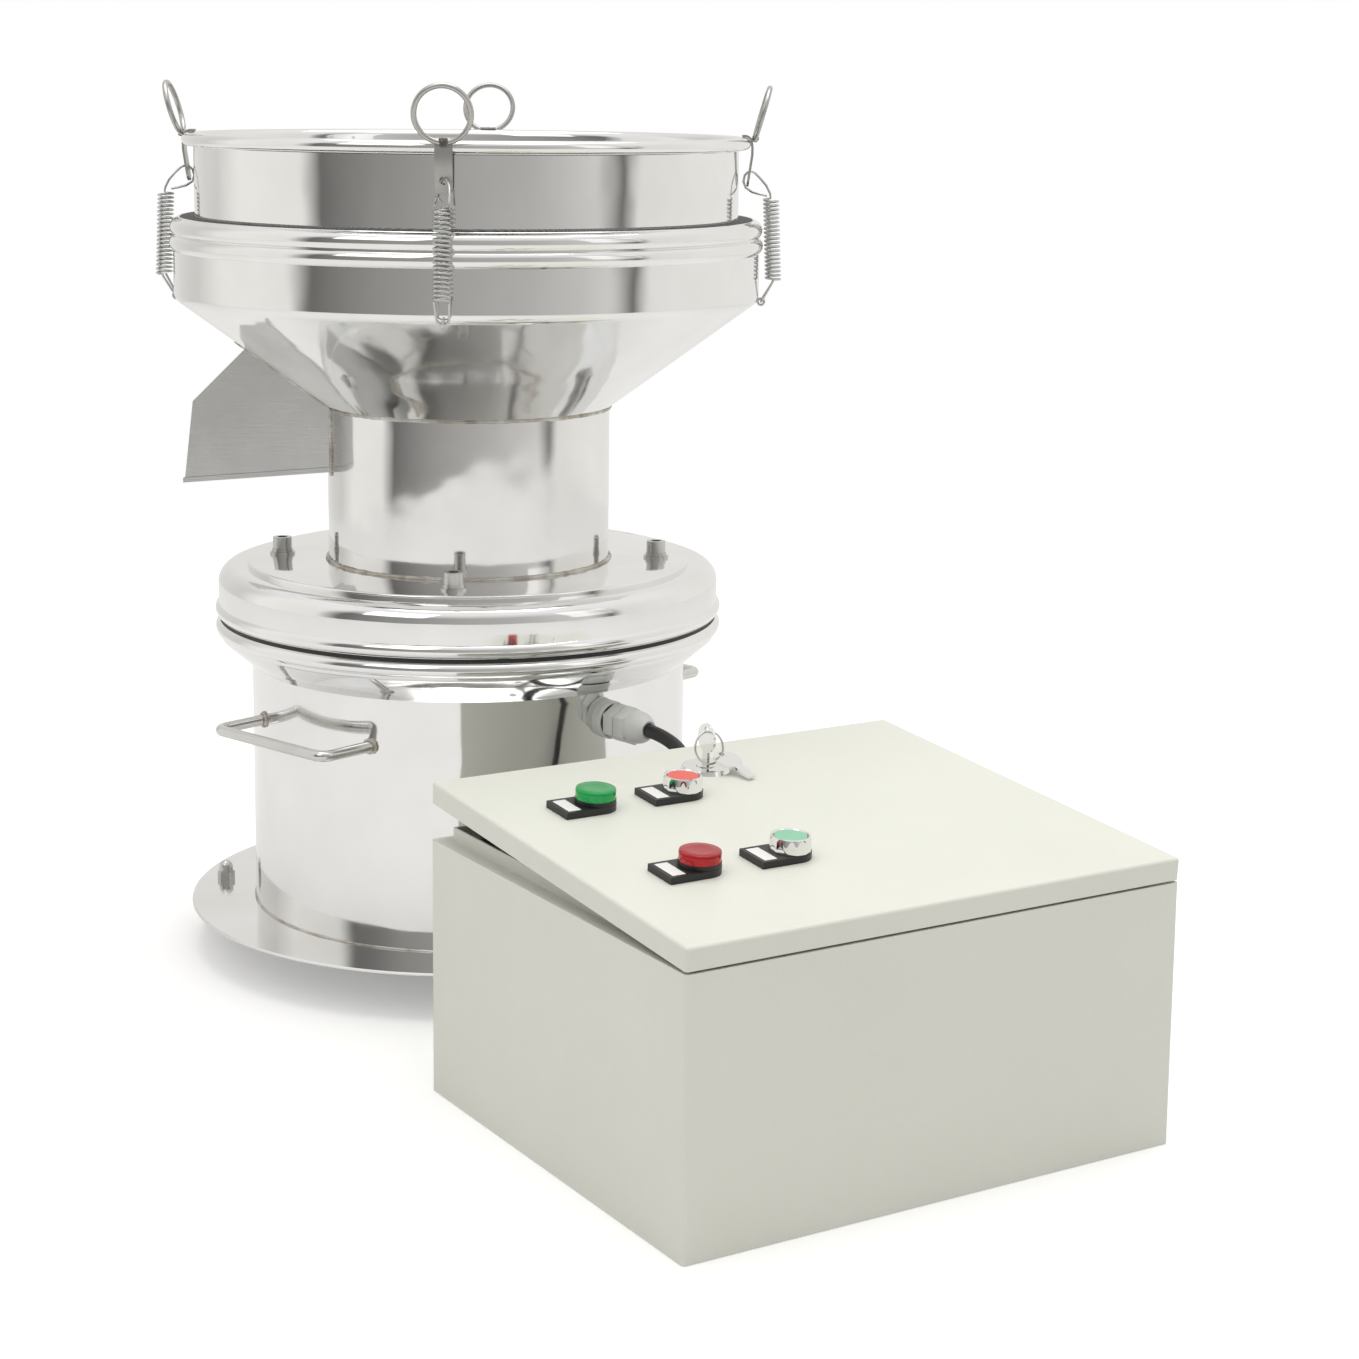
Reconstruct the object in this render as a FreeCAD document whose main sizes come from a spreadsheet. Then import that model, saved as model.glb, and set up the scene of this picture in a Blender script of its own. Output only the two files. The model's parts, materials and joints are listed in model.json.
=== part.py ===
import FreeCAD, Part
import math
import os
import re
from types import SimpleNamespace

import Sketcher
from FreeCAD import Placement, Rotation, Vector

# Vibrating sieve, 450 size, with its separate control box.
# Millimetres, +Z up, Z = 0 on the floor. The sieve's own axis stands at (sieveX, sieveY),
# which puts the middle of the whole footprint on the origin.

os.makedirs("parts", exist_ok=True)
doc = FreeCAD.newDocument("VibratingSieve")
sheet = doc.addObject("Spreadsheet::Sheet", "Sizes")

SIZES = {
    # frame
    "sieveX": -131.957,
    "sieveY": 207.646,
    "sheetWall": 2.0,
    "fitGap": 0.1,
    "softGap": 0.3,
    # base
    "footHeight": 37.0,
    "footRadius": 20.0,
    "footCircle": 215.0,
    "footStart": 176.0,
    "footStud": 4.0,
    "flangeRadius": 237.5,
    "flangeBore": 150.0,
    "flangeThick": 3.0,
    "barrelRadius": 183.5,
    "flareStart": 245.0,
    "flareEnd": 269.0,
    "collarRadius": 210.5,
    "collarTop": 282.4,
    "collarBeadZ": 276.4,
    "collarBeadHeight": 11.2,
    "collarBeadProud": 3.2,
    "shelfBore": 135.0,
    "shelfThick": 4.0,
    "acornFlats": 13.0,
    "acornHeight": 15.0,
    # handles
    "handleAngle": 228.0,
    "handleHeight": 206.0,
    "handleRod": 4.5,
    "handleHalf": 66.0,
    "handleReach": 221.0,
    "handleBend": 9.0,
    # vibrating head
    "plateRadius": 186.4,
    "plateThick": 4.0,
    "headBore": 100.0,
    "capTop": 327.5,
    "capRadius": 211.0,
    "capShoulder": 14.0,
    "sealSetBack": 1.0,
    "capBottom": 286.2,
    "capBeadZ": 291.7,
    "capBeadHeight": 10.4,
    "capBeadProud": 2.8,
    "headTurn": 0.0,
    "headBoltCircle": 159.0,
    "headBolt": 5.0,
    "padRadius": 18.0,
    "padCircle": 157.0,
    # motor
    "motorRadius": 82.0,
    "motorBore": 48.0,
    "motorBottom": 190.0,
    "motorTop": 345.0,
    "shieldThick": 12.0,
    "motorFlangeRadius": 176.0,
    "motorFlangeThick": 14.0,
    "shaftRadius": 15.0,
    "shaftTail": 30.0,
    "rotorGap": 0.6,
    "weightRadius": 66.0,
    "weightThick": 18.0,
    "runGap": 0.05,
    # neck, deck and spout
    "neckRadius": 118.5,
    "neckTop": 460.5,
    "deckLow": 411.0,
    "deckSlope": 10.0,
    "spoutHalf": 42.0,
    "spoutReach": 233.5,
    "spoutLean": 8.0,
    "spoutFloorZ": 398.0,
    "spoutHeight": 68.0,
    "spoutSlope": 4.7,
    "spoutFloorThick": 4.0,
    "spoutLip": 1.5,
    # hopper pan
    "panOut": 18.0,
    "panCornerZ": 552.0,
    "panFillet": 10.0,
    "panBeadLowZ": 597.4,
    "panBeadLowHeight": 12.4,
    "panBeadLowProud": 3.0,
    "panBeadHighZ": 610.0,
    "panBeadHighHeight": 11.6,
    "panBeadHighProud": 2.4,
    "mouthOut": 14.0,
    "mouthTop": 618.4,
    "ledgeInset": 11.0,
    # sieve frame and screen
    "sealThick": 3.0,
    "screenThick": 1.0,
    "frameRadius": 225.0,
    "rimOut": 4.5,
    "rimCentreZ": 681.0,
    "rimRoll": 5.2,
    # clamps
    "clampWidth": 14.0,
    "strapThick": 2.0,
    "strapFootZ": 646.0,
    "tongueWrap": 110.0,
    "eyeRadius": 2.75,
    "eyeWire": 1.0,
    "hookEyeZ": 656.8,
    "pullRingRadius": 21.6,
    "pullRingWire": 2.2,
    "pullRingLean": 16.0,
    "coilRadius": 7.0,
    "coilWire": 1.0,
    "coilTopZ": 636.0,
    "coilBottomZ": 568.0,
    "coilTopOut": 27.0,
    "coilBottomOut": 29.8,
    # cable glands and cable
    "glandAngle": -48.5,
    "glandZ": 223.0,
    "glandThread": 10.8,
    "glandFlats": 27.0,
    "glandCollar": 15.5,
    "glandCollarThick": 9.0,
    "glandSealThick": 2.0,
    "glandBodyEnd": 24.0,
    "glandCapEnd": 38.0,
    "glandTip": 53.0,
    "glandBoreDepth": 12.0,
    "cableRadius": 5.5,
    # control box
    "boxTurn": 31.7,
    "boxX": 186.0,
    "boxY": -677.5,
    "boxLength": 400.0,
    "boxWidth": 350.0,
    "boxHeight": 190.0,
    "boxWall": 1.5,
    "gutter": 12.0,
    "lipHeight": 10.0,
    "boxGlandU": 355.0,
    "boxGlandZ": 69.0,
    "trayInset": 20.0,
    "trayZ": 13.5,
    "trayThick": 2.0,
    "contactorU": 130.0,
    "contactorV": 130.5,
    "contactorWide": 45.0,
    "contactorDeep": 74.0,
    "contactorTall": 78.0,
    "contactorHead": 40.0,
    # lid
    "lidGap": 2.0,
    "lidEdge": 16.0,
    "lidAjar": 4.2,
    "lidRound": 2.5,
    "hingeInset": 4.0,
    "hingeRise": 5.0,
    "hingePin": 1.2,
    "hingeSpread": 280.0,
    "hingeLength": 30.0,
    "gasketWidth": 10.0,
    # devices on the lid
    "deviceNearU": 79.0,
    "devicePitchU": 72.0,
    "deviceHighInset": 98.0,
    "devicePitchV": 139.0,
    "deviceHole": 11.15,
    "deviceRadius": 14.8,
    "deviceDepth": 40.0,
    "legendWidth": 30.0,
    "legendReach": 31.0,
    "legendThick": 5.0,
    "insertDeep": 1.0,
    "lampBaseTop": 8.0,
    "lensTop": 15.5,
    "bezelTop": 15.5,
    "capInset": 3.2,
    "capTravel": 3.5,
    "lockU": 198.5,
    "lockInset": 53.5,
    "lockRadius": 18.5,
    "lockFace": 3.0,
    "lockStem": 9.5,
    "lockDepth": 22.0,
    "plugRadius": 7.0,
    "camReach": 50.0,
    "camThick": 2.5,
    "keyThick": 2.0,
    "keyBow": 11.0,
    "keyBlade": 7.0,
    "keyHole": 2.6,
    "keyHoleEdge": 4.5,
    "keyBowZ": 24.0,
    "keyRingRadius": 12.0,
    "keyRingWire": 0.8,
    "keyRingLean": 72.0,
    "spareSpot": 125.0,
}

DERIVED = {
    "panRadius": "frameRadius + panOut",
    "mouthRadius": "frameRadius + mouthOut",
    "ledgeBore": "frameRadius - ledgeInset",
    "sealOuter": "mouthRadius - sheetWall - fitGap",
    "rimRadius": "frameRadius + rimOut",
    "coilTopR": "frameRadius + coilTopOut",
    "coilBottomR": "frameRadius + coilBottomOut",
    "lockV": "boxWidth - lockInset",
    "deviceHighV": "boxWidth - deviceHighInset",
    "flangeTop": "footHeight + flangeThick",
    "barrelFlareShift": "sheetWall * tan(atan((collarRadius - barrelRadius) / (flareEnd - flareStart)) / 2)",
    "shelfZ": "flareEnd + barrelFlareShift + fitGap",
    "shelfTop": "shelfZ + shelfThick",
    "headTop": "capTop + plateThick",
    "motorFlangeTop": "capTop - sheetWall",
    "motorFlangeBottom": "motorFlangeTop - motorFlangeThick",
    "panSlope": "atan((panCornerZ - neckTop) / (panRadius - neckRadius)) / 1 deg",
    "panTangent": "panFillet * tan((90 - panSlope) / 2)",
    "panCurveZ": "panCornerZ + panTangent",
    "panCurveR": "panRadius - panFillet",
    "ledgeTop": "mouthTop - sealThick",
    "sealTop": "ledgeTop + sealThick",
    "screenTop": "sealTop + screenThick",
    "rimTop": "rimCentreZ + rimRoll",
    "hingeV": "hingeInset",
    "hingeZ": "boxHeight + lidGap + hingeRise",
    "lidBottom": "boxHeight + lidGap",
    "lidTop": "lidBottom + lidEdge",
}

for row, (name, value) in enumerate(SIZES.items(), start=1):
    sheet.set(f"A{row}", name)
    sheet.set(f"B{row}", str(value))
    sheet.setAlias(f"B{row}", name)
for row, (name, formula) in enumerate(DERIVED.items(), start=len(SIZES) + 1):
    sheet.set(f"A{row}", name)
    sheet.set(f"B{row}", "=" + formula)
    sheet.setAlias(f"B{row}", name)
doc.recompute()


def plain(value):
    return float(getattr(value, "Value", value))


s = SimpleNamespace(**{name: plain(sheet.get(name)) for name in [*SIZES, *DERIVED]})
KNOWN = {*SIZES, *DERIVED}


def bound(text):
    # Bare size names become references into the spreadsheet.
    return re.sub(r"[A-Za-z_]\w*", lambda m: f"Sizes.{m[0]}" if m[0] in KNOWN else m[0], str(text))


def number(text):
    return plain(sheet.evalExpression(bound(text)))


# ---------------------------------------------------------------- building helpers

nodes = []


def keep(obj, label):
    obj.Label = label
    nodes.append(obj)
    return obj


def seat(obj, x="0", y="0", z="0", axis=Vector(0, 0, 1), angle=0.0):
    # Places an object relative to the sieve's axis on the floor.
    obj.Placement = Placement(Vector(), Rotation(axis, angle))
    obj.setExpression("Placement.Base.x", bound(f"sieveX + ({x})"))
    obj.setExpression("Placement.Base.y", bound(f"sieveY + ({y})"))
    obj.setExpression("Placement.Base.z", bound(z))
    return obj


def originPlane(body, role):
    return [f for f in body.Origin.OriginFeatures if f.Role == role][0]


def outlineSketch(body, name, plane, outline, depth=None):
    # outline: corners as (across, up) texts; a third text is the radius of an arc that runs
    # from that corner to the next, and a fourth, +1 or -1, is the side that it bulges to.
    sketch = body.newObject("Sketcher::SketchObject", name)
    sketch.AttachmentSupport = [(originPlane(body, plane), "")]
    sketch.MapMode = "FlatFace"
    if depth is not None:
        sketch.AttachmentOffset = Placement(Vector(0, 0, number(depth)), Rotation())
    corners = [Vector(number(c[0]), number(c[1]), 0) for c in outline]
    count = len(corners)
    heads = []
    for i, corner in enumerate(outline):
        start = corners[i]
        end = corners[(i + 1) % count]
        heads.append(2 if len(corner) > 2 and corner[3] < 0 else 1)
        if len(corner) == 2:
            sketch.addGeometry(Part.LineSegment(start, end), False)
            continue
        radius = number(corner[2])
        half = (end - start) * 0.5
        inward = Vector(-half.y, half.x, 0).normalize() * corner[3]
        centre = start + half + inward * math.sqrt(max(radius * radius - half.Length ** 2, 0))
        first, last = (start, end) if corner[3] > 0 else (end, start)
        turns = [math.atan2(point.y - centre.y, point.x - centre.x) for point in (first, last)]
        if turns[1] < turns[0]:
            turns[1] += 2 * math.pi
        circle = Part.Circle(centre, Vector(0, 0, 1), radius)
        sketch.addGeometry(Part.ArcOfCircle(circle, turns[0], turns[1]), False)
    for i in range(count):
        after = (i + 1) % count
        sketch.addConstraint(Sketcher.Constraint("Coincident", i, 3 - heads[i], after, heads[after]))
    for i, corner in enumerate(outline):
        start = heads[i]
        for kind, text, along in (("DistanceX", corner[0], corners[i].x), ("DistanceY", corner[1], corners[i].y)):
            if abs(along) < 1e-9:
                line = -2 if kind == "DistanceX" else -1
                sketch.addConstraint(Sketcher.Constraint("PointOnObject", i, start, line))
                continue
            index = sketch.addConstraint(Sketcher.Constraint(kind, -1, 1, i, start, along))
            sketch.setExpression(f"Constraints[{index}]", bound(text))
        if len(corner) > 2:
            index = sketch.addConstraint(Sketcher.Constraint("Radius", i, number(corner[2])))
            sketch.setExpression(f"Constraints[{index}]", bound(corner[2]))
    return sketch


def newBody(label):
    body = doc.addObject("PartDesign::Body", label)
    return keep(body, label)


def revolvedBody(label, outline):
    body = newBody(label)
    sketch = outlineSketch(body, label + "Outline", "XZ_Plane", outline)
    turn = body.newObject("PartDesign::Revolution", label + "Turn")
    turn.Profile = sketch
    turn.ReferenceAxis = (sketch, ["V_Axis"])
    turn.Angle = 360
    doc.recompute()
    return body


def circleSketch(body, name, plane, centres, radius, depth="0"):
    sketch = body.newObject("Sketcher::SketchObject", name)
    sketch.AttachmentSupport = [(originPlane(body, plane), "")]
    sketch.MapMode = "FlatFace"
    sketch.AttachmentOffset = Placement(Vector(0, 0, number(depth)), Rotation())
    sketch.setExpression("AttachmentOffset.Base.z", bound(depth))
    for i, (across, up) in enumerate(centres):
        centre = Vector(number(across), number(up), 0)
        sketch.addGeometry(Part.Circle(centre, Vector(0, 0, 1), number(radius)), False)
        for kind, text, along in (("DistanceX", across, centre.x), ("DistanceY", up, centre.y)):
            if abs(along) < 1e-9:
                line = -2 if kind == "DistanceX" else -1
                sketch.addConstraint(Sketcher.Constraint("PointOnObject", i, 3, line))
                continue
            index = sketch.addConstraint(Sketcher.Constraint(kind, -1, 1, i, 3, along))
            sketch.setExpression(f"Constraints[{index}]", bound(text))
        index = sketch.addConstraint(Sketcher.Constraint("Radius", i, number(radius)))
        sketch.setExpression(f"Constraints[{index}]", bound(radius))
    return sketch


def pocketHoles(body, name, centres, radius, top, deep):
    # Round holes straight down from the height "top", and the volume must fall.
    before = body.Shape.Volume
    sketch = circleSketch(body, name + "Sketch", "XY_Plane", centres, radius, top)
    pocket = body.newObject("PartDesign::Pocket", name)
    pocket.Profile = sketch
    pocket.setExpression("Length", bound(deep))
    doc.recompute()
    assert body.Shape.Volume < before - 1, f"{name} cuts nothing"
    return pocket


def baked(solid):
    # The same solid with its turn and shift carried by its faces, so that the object's own
    # Placement can start from nothing.
    matrix = solid.Placement.toMatrix()
    bare = solid.copy()
    bare.Placement = Placement()
    return bare.transformed(matrix, copy=True)


def feature(label, shapes):
    solids = [baked(solid) for shape in shapes for solid in shape.Solids]
    obj = doc.addObject("Part::Feature", label)
    obj.Shape = solids[0] if len(solids) == 1 else Part.makeCompound(solids)
    return keep(obj, label)


def beadRadius(height, proud):
    return f"(({height}) * ({height}) / 4 + ({proud}) * ({proud})) / (2 * ({proud}))"


def polar(radius, degrees, z=0.0):
    turn = math.radians(degrees)
    return Vector(radius * math.cos(turn), radius * math.sin(turn), z)


def hexPrism(flats, bottom, height):
    corners = [polar(flats / math.sqrt(3), 60 * k, bottom) for k in range(7)]
    return Part.Face(Part.makePolygon(corners)).extrude(Vector(0, 0, height))


def routeWire(points, radii):
    # Straight runs joined by tangent arcs, one radius per inner point.
    edges = []
    start = points[0]
    for i in range(1, len(points) - 1):
        inward = (points[i] - points[i - 1]).normalize()
        outward = (points[i + 1] - points[i]).normalize()
        turn = inward.getAngle(outward)
        cut = radii[i - 1] * math.tan(turn / 2)
        first = points[i] - inward * cut
        last = points[i] + outward * cut
        centre = points[i] + (outward - inward).normalize() * (radii[i - 1] / math.cos(turn / 2))
        middle = centre + (points[i] - centre).normalize() * radii[i - 1]
        if (first - start).Length > 1e-6:
            edges.append(Part.LineSegment(start, first).toShape())
        edges.append(Part.Arc(first, middle, last).toShape())
        start = last
    edges.append(Part.LineSegment(start, points[-1]).toShape())
    return Part.Wire(edges)


def roundBar(wire, radius):
    # A round bar along a wire of tangent runs; its volume must be section times length.
    first = wire.OrderedEdges[0]
    start = first.valueAt(first.FirstParameter)
    heading = first.tangentAt(first.FirstParameter)
    section = Part.Wire([Part.makeCircle(radius, start, heading)])
    bar = wire.makePipeShell([section], True, False)
    expected = math.pi * radius * radius * wire.Length
    assert abs(bar.Volume / expected - 1) < 0.01, f"bar volume {bar.Volume:.0f} for {expected:.0f}"
    return bar


def torusAt(centre, axis, mean, wire):
    return Part.makeTorus(mean, wire, centre, axis)


# ---------------------------------------------------------------- base

def buildBase():
    flange = revolvedBody("base_flange", [
        ("flangeBore", "footHeight"), ("flangeRadius", "footHeight"),
        ("flangeRadius", "flangeTop"), ("flangeBore", "flangeTop")])
    footSpots = [(f"footCircle * cos(footStart + {120 * k})", f"footCircle * sin(footStart + {120 * k})")
                 for k in range(3)]
    pocketHoles(flange, "FootHoles", footSpots, "footStud + fitGap", "flangeTop + 1", "flangeThick + 2")
    seat(flange)

    collarBead = beadRadius("collarBeadHeight", "collarBeadProud")
    barrel = revolvedBody("barrel", [
        ("barrelRadius - sheetWall", "flangeTop"), ("barrelRadius", "flangeTop"),
        ("barrelRadius", "flareStart"), ("collarRadius", "flareEnd"),
        ("collarRadius", "collarBeadZ - collarBeadHeight / 2", collarBead, 1),
        ("collarRadius", "collarBeadZ + collarBeadHeight / 2"),
        ("collarRadius", "collarTop"), ("collarRadius - sheetWall", "collarTop"),
        ("collarRadius - sheetWall", "flareEnd + barrelFlareShift"),
        ("barrelRadius - sheetWall", "flareStart + barrelFlareShift")])
    bore = barrel.newObject("PartDesign::SubtractiveCylinder", "GlandBore")
    bore.setExpression("Radius", bound("glandThread + fitGap"))
    bore.setExpression("Height", bound("sheetWall * 6"))
    heading = polar(1, s.glandAngle)
    bore.Placement = Placement(heading * (s.barrelRadius - 3 * s.sheetWall) + Vector(0, 0, s.glandZ),
                               Rotation(Vector(0, 0, 1), heading))
    doc.recompute()
    seat(barrel)

    shelf = revolvedBody("isolator_shelf", [
        ("shelfBore", "shelfZ"), ("collarRadius - sheetWall - fitGap", "shelfZ"),
        ("collarRadius - sheetWall - fitGap", "shelfTop"), ("shelfBore", "shelfTop")])
    seat(shelf)

    feet = []
    nuts = []
    for k in range(3):
        spot = polar(s.footCircle, s.footStart + 120 * k)
        pad = Part.makeCone(s.footRadius * 0.86, s.footRadius, s.footHeight, spot)
        stud = Part.makeCylinder(s.footStud, s.flangeThick + s.acornHeight * 0.6, spot + Vector(0, 0, s.footHeight))
        feet.append(pad.fuse(stud).removeSplitter())
        nut = hexPrism(s.acornFlats, 0, s.acornHeight * 0.45)
        dome = Part.makeCylinder(s.acornFlats * 0.46, s.acornHeight * 0.3, Vector(0, 0, s.acornHeight * 0.4))
        ball = Part.makeSphere(s.acornFlats * 0.46, Vector(0, 0, s.acornHeight * 0.68), Vector(0, 0, 1), 0, 90, 360)
        blind = Part.makeCylinder(s.footStud + s.runGap, s.acornHeight * 0.62)
        nut = nut.fuse([dome, ball]).removeSplitter().cut(blind)
        nut.translate(spot + Vector(0, 0, s.flangeTop))
        nuts.append(nut)
    seat(feature("foot_pads", feet))
    seat(feature("foot_nuts", nuts))

    handles = []
    for k in range(2):
        points = [Vector(s.handleReach - 70, -s.handleHalf, 0), Vector(s.handleReach, -s.handleHalf, 0),
                  Vector(s.handleReach, s.handleHalf, 0), Vector(s.handleReach - 70, s.handleHalf, 0)]
        bar = roundBar(routeWire(points, [s.handleBend] * 2), s.handleRod)
        drum = Part.makeCylinder(s.barrelRadius + s.fitGap, 60, Vector(0, 0, -30))
        bar = bar.cut(drum)
        bar.rotate(Vector(), Vector(0, 0, 1), s.handleAngle + 180 * k)
        bar.translate(Vector(0, 0, s.handleHeight))
        handles.append(bar)
    seat(feature("handles", handles))


def buildIsolators():
    pads = []
    for k in range(4):
        spot = polar(s.padCircle, s.headTurn + 45 + 90 * k, s.shelfTop)
        pads.append(Part.makeCylinder(s.padRadius, s.motorFlangeBottom - s.softGap - s.shelfTop, spot))
    seat(feature("isolators", pads))
    seal = revolvedBody("dust_seal", [
        ("collarRadius - sheetWall", "collarTop"), ("collarRadius - sealSetBack", "collarTop"),
        ("collarRadius - sealSetBack", "capBottom - softGap"),
        ("collarRadius - sheetWall", "capBottom - softGap")])
    seat(seal)


# ---------------------------------------------------------------- vibrating head

def headSpots(circle, count=4):
    step = 360 / count
    return [(f"{circle} * cos(headTurn + {step * k})", f"{circle} * sin(headTurn + {step * k})")
            for k in range(count)]


def buildHead():
    plate = revolvedBody("dome_plate", [
        ("headBore", "capTop"), ("plateRadius", "capTop"), ("plateRadius", "headTop"), ("headBore", "headTop")])
    pocketHoles(plate, "PlateHoles", headSpots("headBoltCircle"), "headBolt + fitGap", "headTop + 1", "plateThick + 2")
    seat(plate)

    capBead = beadRadius("capBeadHeight", "capBeadProud")
    cap = revolvedBody("dome_cap", [
        ("headBore", "capTop - sheetWall"),
        ("capRadius - capShoulder", "capTop - sheetWall", "capShoulder - sheetWall", -1),
        ("capRadius - sheetWall", "capTop - capShoulder"),
        ("capRadius - sheetWall", "capBottom"), ("capRadius", "capBottom"),
        ("capRadius", "capBeadZ - capBeadHeight / 2", capBead, 1),
        ("capRadius", "capBeadZ + capBeadHeight / 2"),
        ("capRadius", "capTop - capShoulder", "capShoulder", 1),
        ("capRadius - capShoulder", "capTop"), ("headBore", "capTop")])
    pocketHoles(cap, "CapHoles", headSpots("headBoltCircle"), "headBolt + fitGap", "capTop + 1", "sheetWall + 2")
    seat(cap)

    housing = revolvedBody("motor_housing", [
        ("motorBore", "motorBottom + shieldThick"), ("motorRadius", "motorBottom + shieldThick"),
        ("motorRadius", "motorFlangeBottom"), ("motorFlangeRadius", "motorFlangeBottom"),
        ("motorFlangeRadius", "motorFlangeTop"), ("motorRadius", "motorFlangeTop"),
        ("motorRadius", "motorTop - shieldThick"), ("motorBore", "motorTop - shieldThick")])
    pocketHoles(housing, "FlangeHoles", headSpots("headBoltCircle"), "headBolt + fitGap",
                "motorFlangeTop + 1", "motorFlangeThick + 2")
    seat(housing)

    shields = []
    for base in (s.motorBottom, s.motorTop - s.shieldThick):
        disc = Part.makeCylinder(s.motorRadius, s.shieldThick, Vector(0, 0, base))
        shields.append(disc.cut(Part.makeCylinder(s.shaftRadius + s.runGap, s.shieldThick, Vector(0, 0, base))))
    seat(feature("motor_shields", shields))

    shaft = revolvedBody("rotor_shaft", [
        ("0", "motorBottom - shaftTail"), ("shaftRadius", "motorBottom - shaftTail"),
        ("shaftRadius", "motorBottom + shieldThick + 6"), ("motorBore - rotorGap", "motorBottom + shieldThick + 6"),
        ("motorBore - rotorGap", "motorTop - shieldThick - 6"), ("shaftRadius", "motorTop - shieldThick - 6"),
        ("shaftRadius", "motorTop + shaftTail"), ("0", "motorTop + shaftTail")])
    seat(shaft)

    weights = []
    for base in (s.motorBottom - s.shaftTail + 5, s.motorTop + s.shaftTail - 5 - s.weightThick):
        boss = Part.makeCylinder(s.shaftRadius * 1.8, s.weightThick, Vector(0, 0, base))
        sector = Part.makeCylinder(s.weightRadius, s.weightThick, Vector(0, 0, base), Vector(0, 0, 1), 150)
        bore = Part.makeCylinder(s.shaftRadius + s.runGap, s.weightThick, Vector(0, 0, base))
        weights.append(boss.fuse(sector).removeSplitter().cut(bore))
    seat(feature("eccentric_weights", weights))

    bolts = []
    washers = []
    nuts = []
    for k in range(4):
        spot = polar(s.headBoltCircle, s.headTurn + 90 * k)
        washerTop = s.headTop + 2
        springTop = washerTop + 2.5
        head = Part.makeCylinder(8, 10, spot + Vector(0, 0, springTop))
        socket = hexPrism(8, springTop + 5, 6)
        socket.translate(spot)
        shank = Part.makeCylinder(s.headBolt, springTop - s.motorFlangeBottom + 12,
                                  spot + Vector(0, 0, s.motorFlangeBottom - 12))
        bolts.append(head.fuse(shank).removeSplitter().cut(socket))
        flat = Part.makeCylinder(10.5, 2, spot + Vector(0, 0, s.headTop))
        lock = Part.makeCylinder(8.8, 2.5, spot + Vector(0, 0, washerTop))
        bore = Part.makeCylinder(s.headBolt + s.runGap, 10, spot + Vector(0, 0, s.headTop - 1))
        washers.append(flat.fuse(lock).removeSplitter().cut(bore))
        nut = hexPrism(17, s.motorFlangeBottom - 8, 8)
        nut.translate(spot)
        nuts.append(nut.cut(Part.makeCylinder(s.headBolt + s.runGap, 20, spot + Vector(0, 0, s.motorFlangeBottom - 10))))
    seat(feature("dome_bolts", bolts))
    seat(feature("dome_washers", washers))
    seat(feature("dome_nuts", nuts))


def spoutFloor(x):
    # Height of the spout's floor top at a distance x out from the axis.
    return s.spoutFloorZ + s.spoutFloorThick + (s.spoutReach - x) * math.tan(math.radians(s.spoutSlope))


def extrudedOutline(points, half):
    # points: (x, z) corners; the plate stands on both sides of the XZ plane.
    corners = [Vector(x, -half, z) for x, z in points]
    return Part.Face(Part.makePolygon(corners + corners[:1])).extrude(Vector(0, 2 * half, 0))


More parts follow.
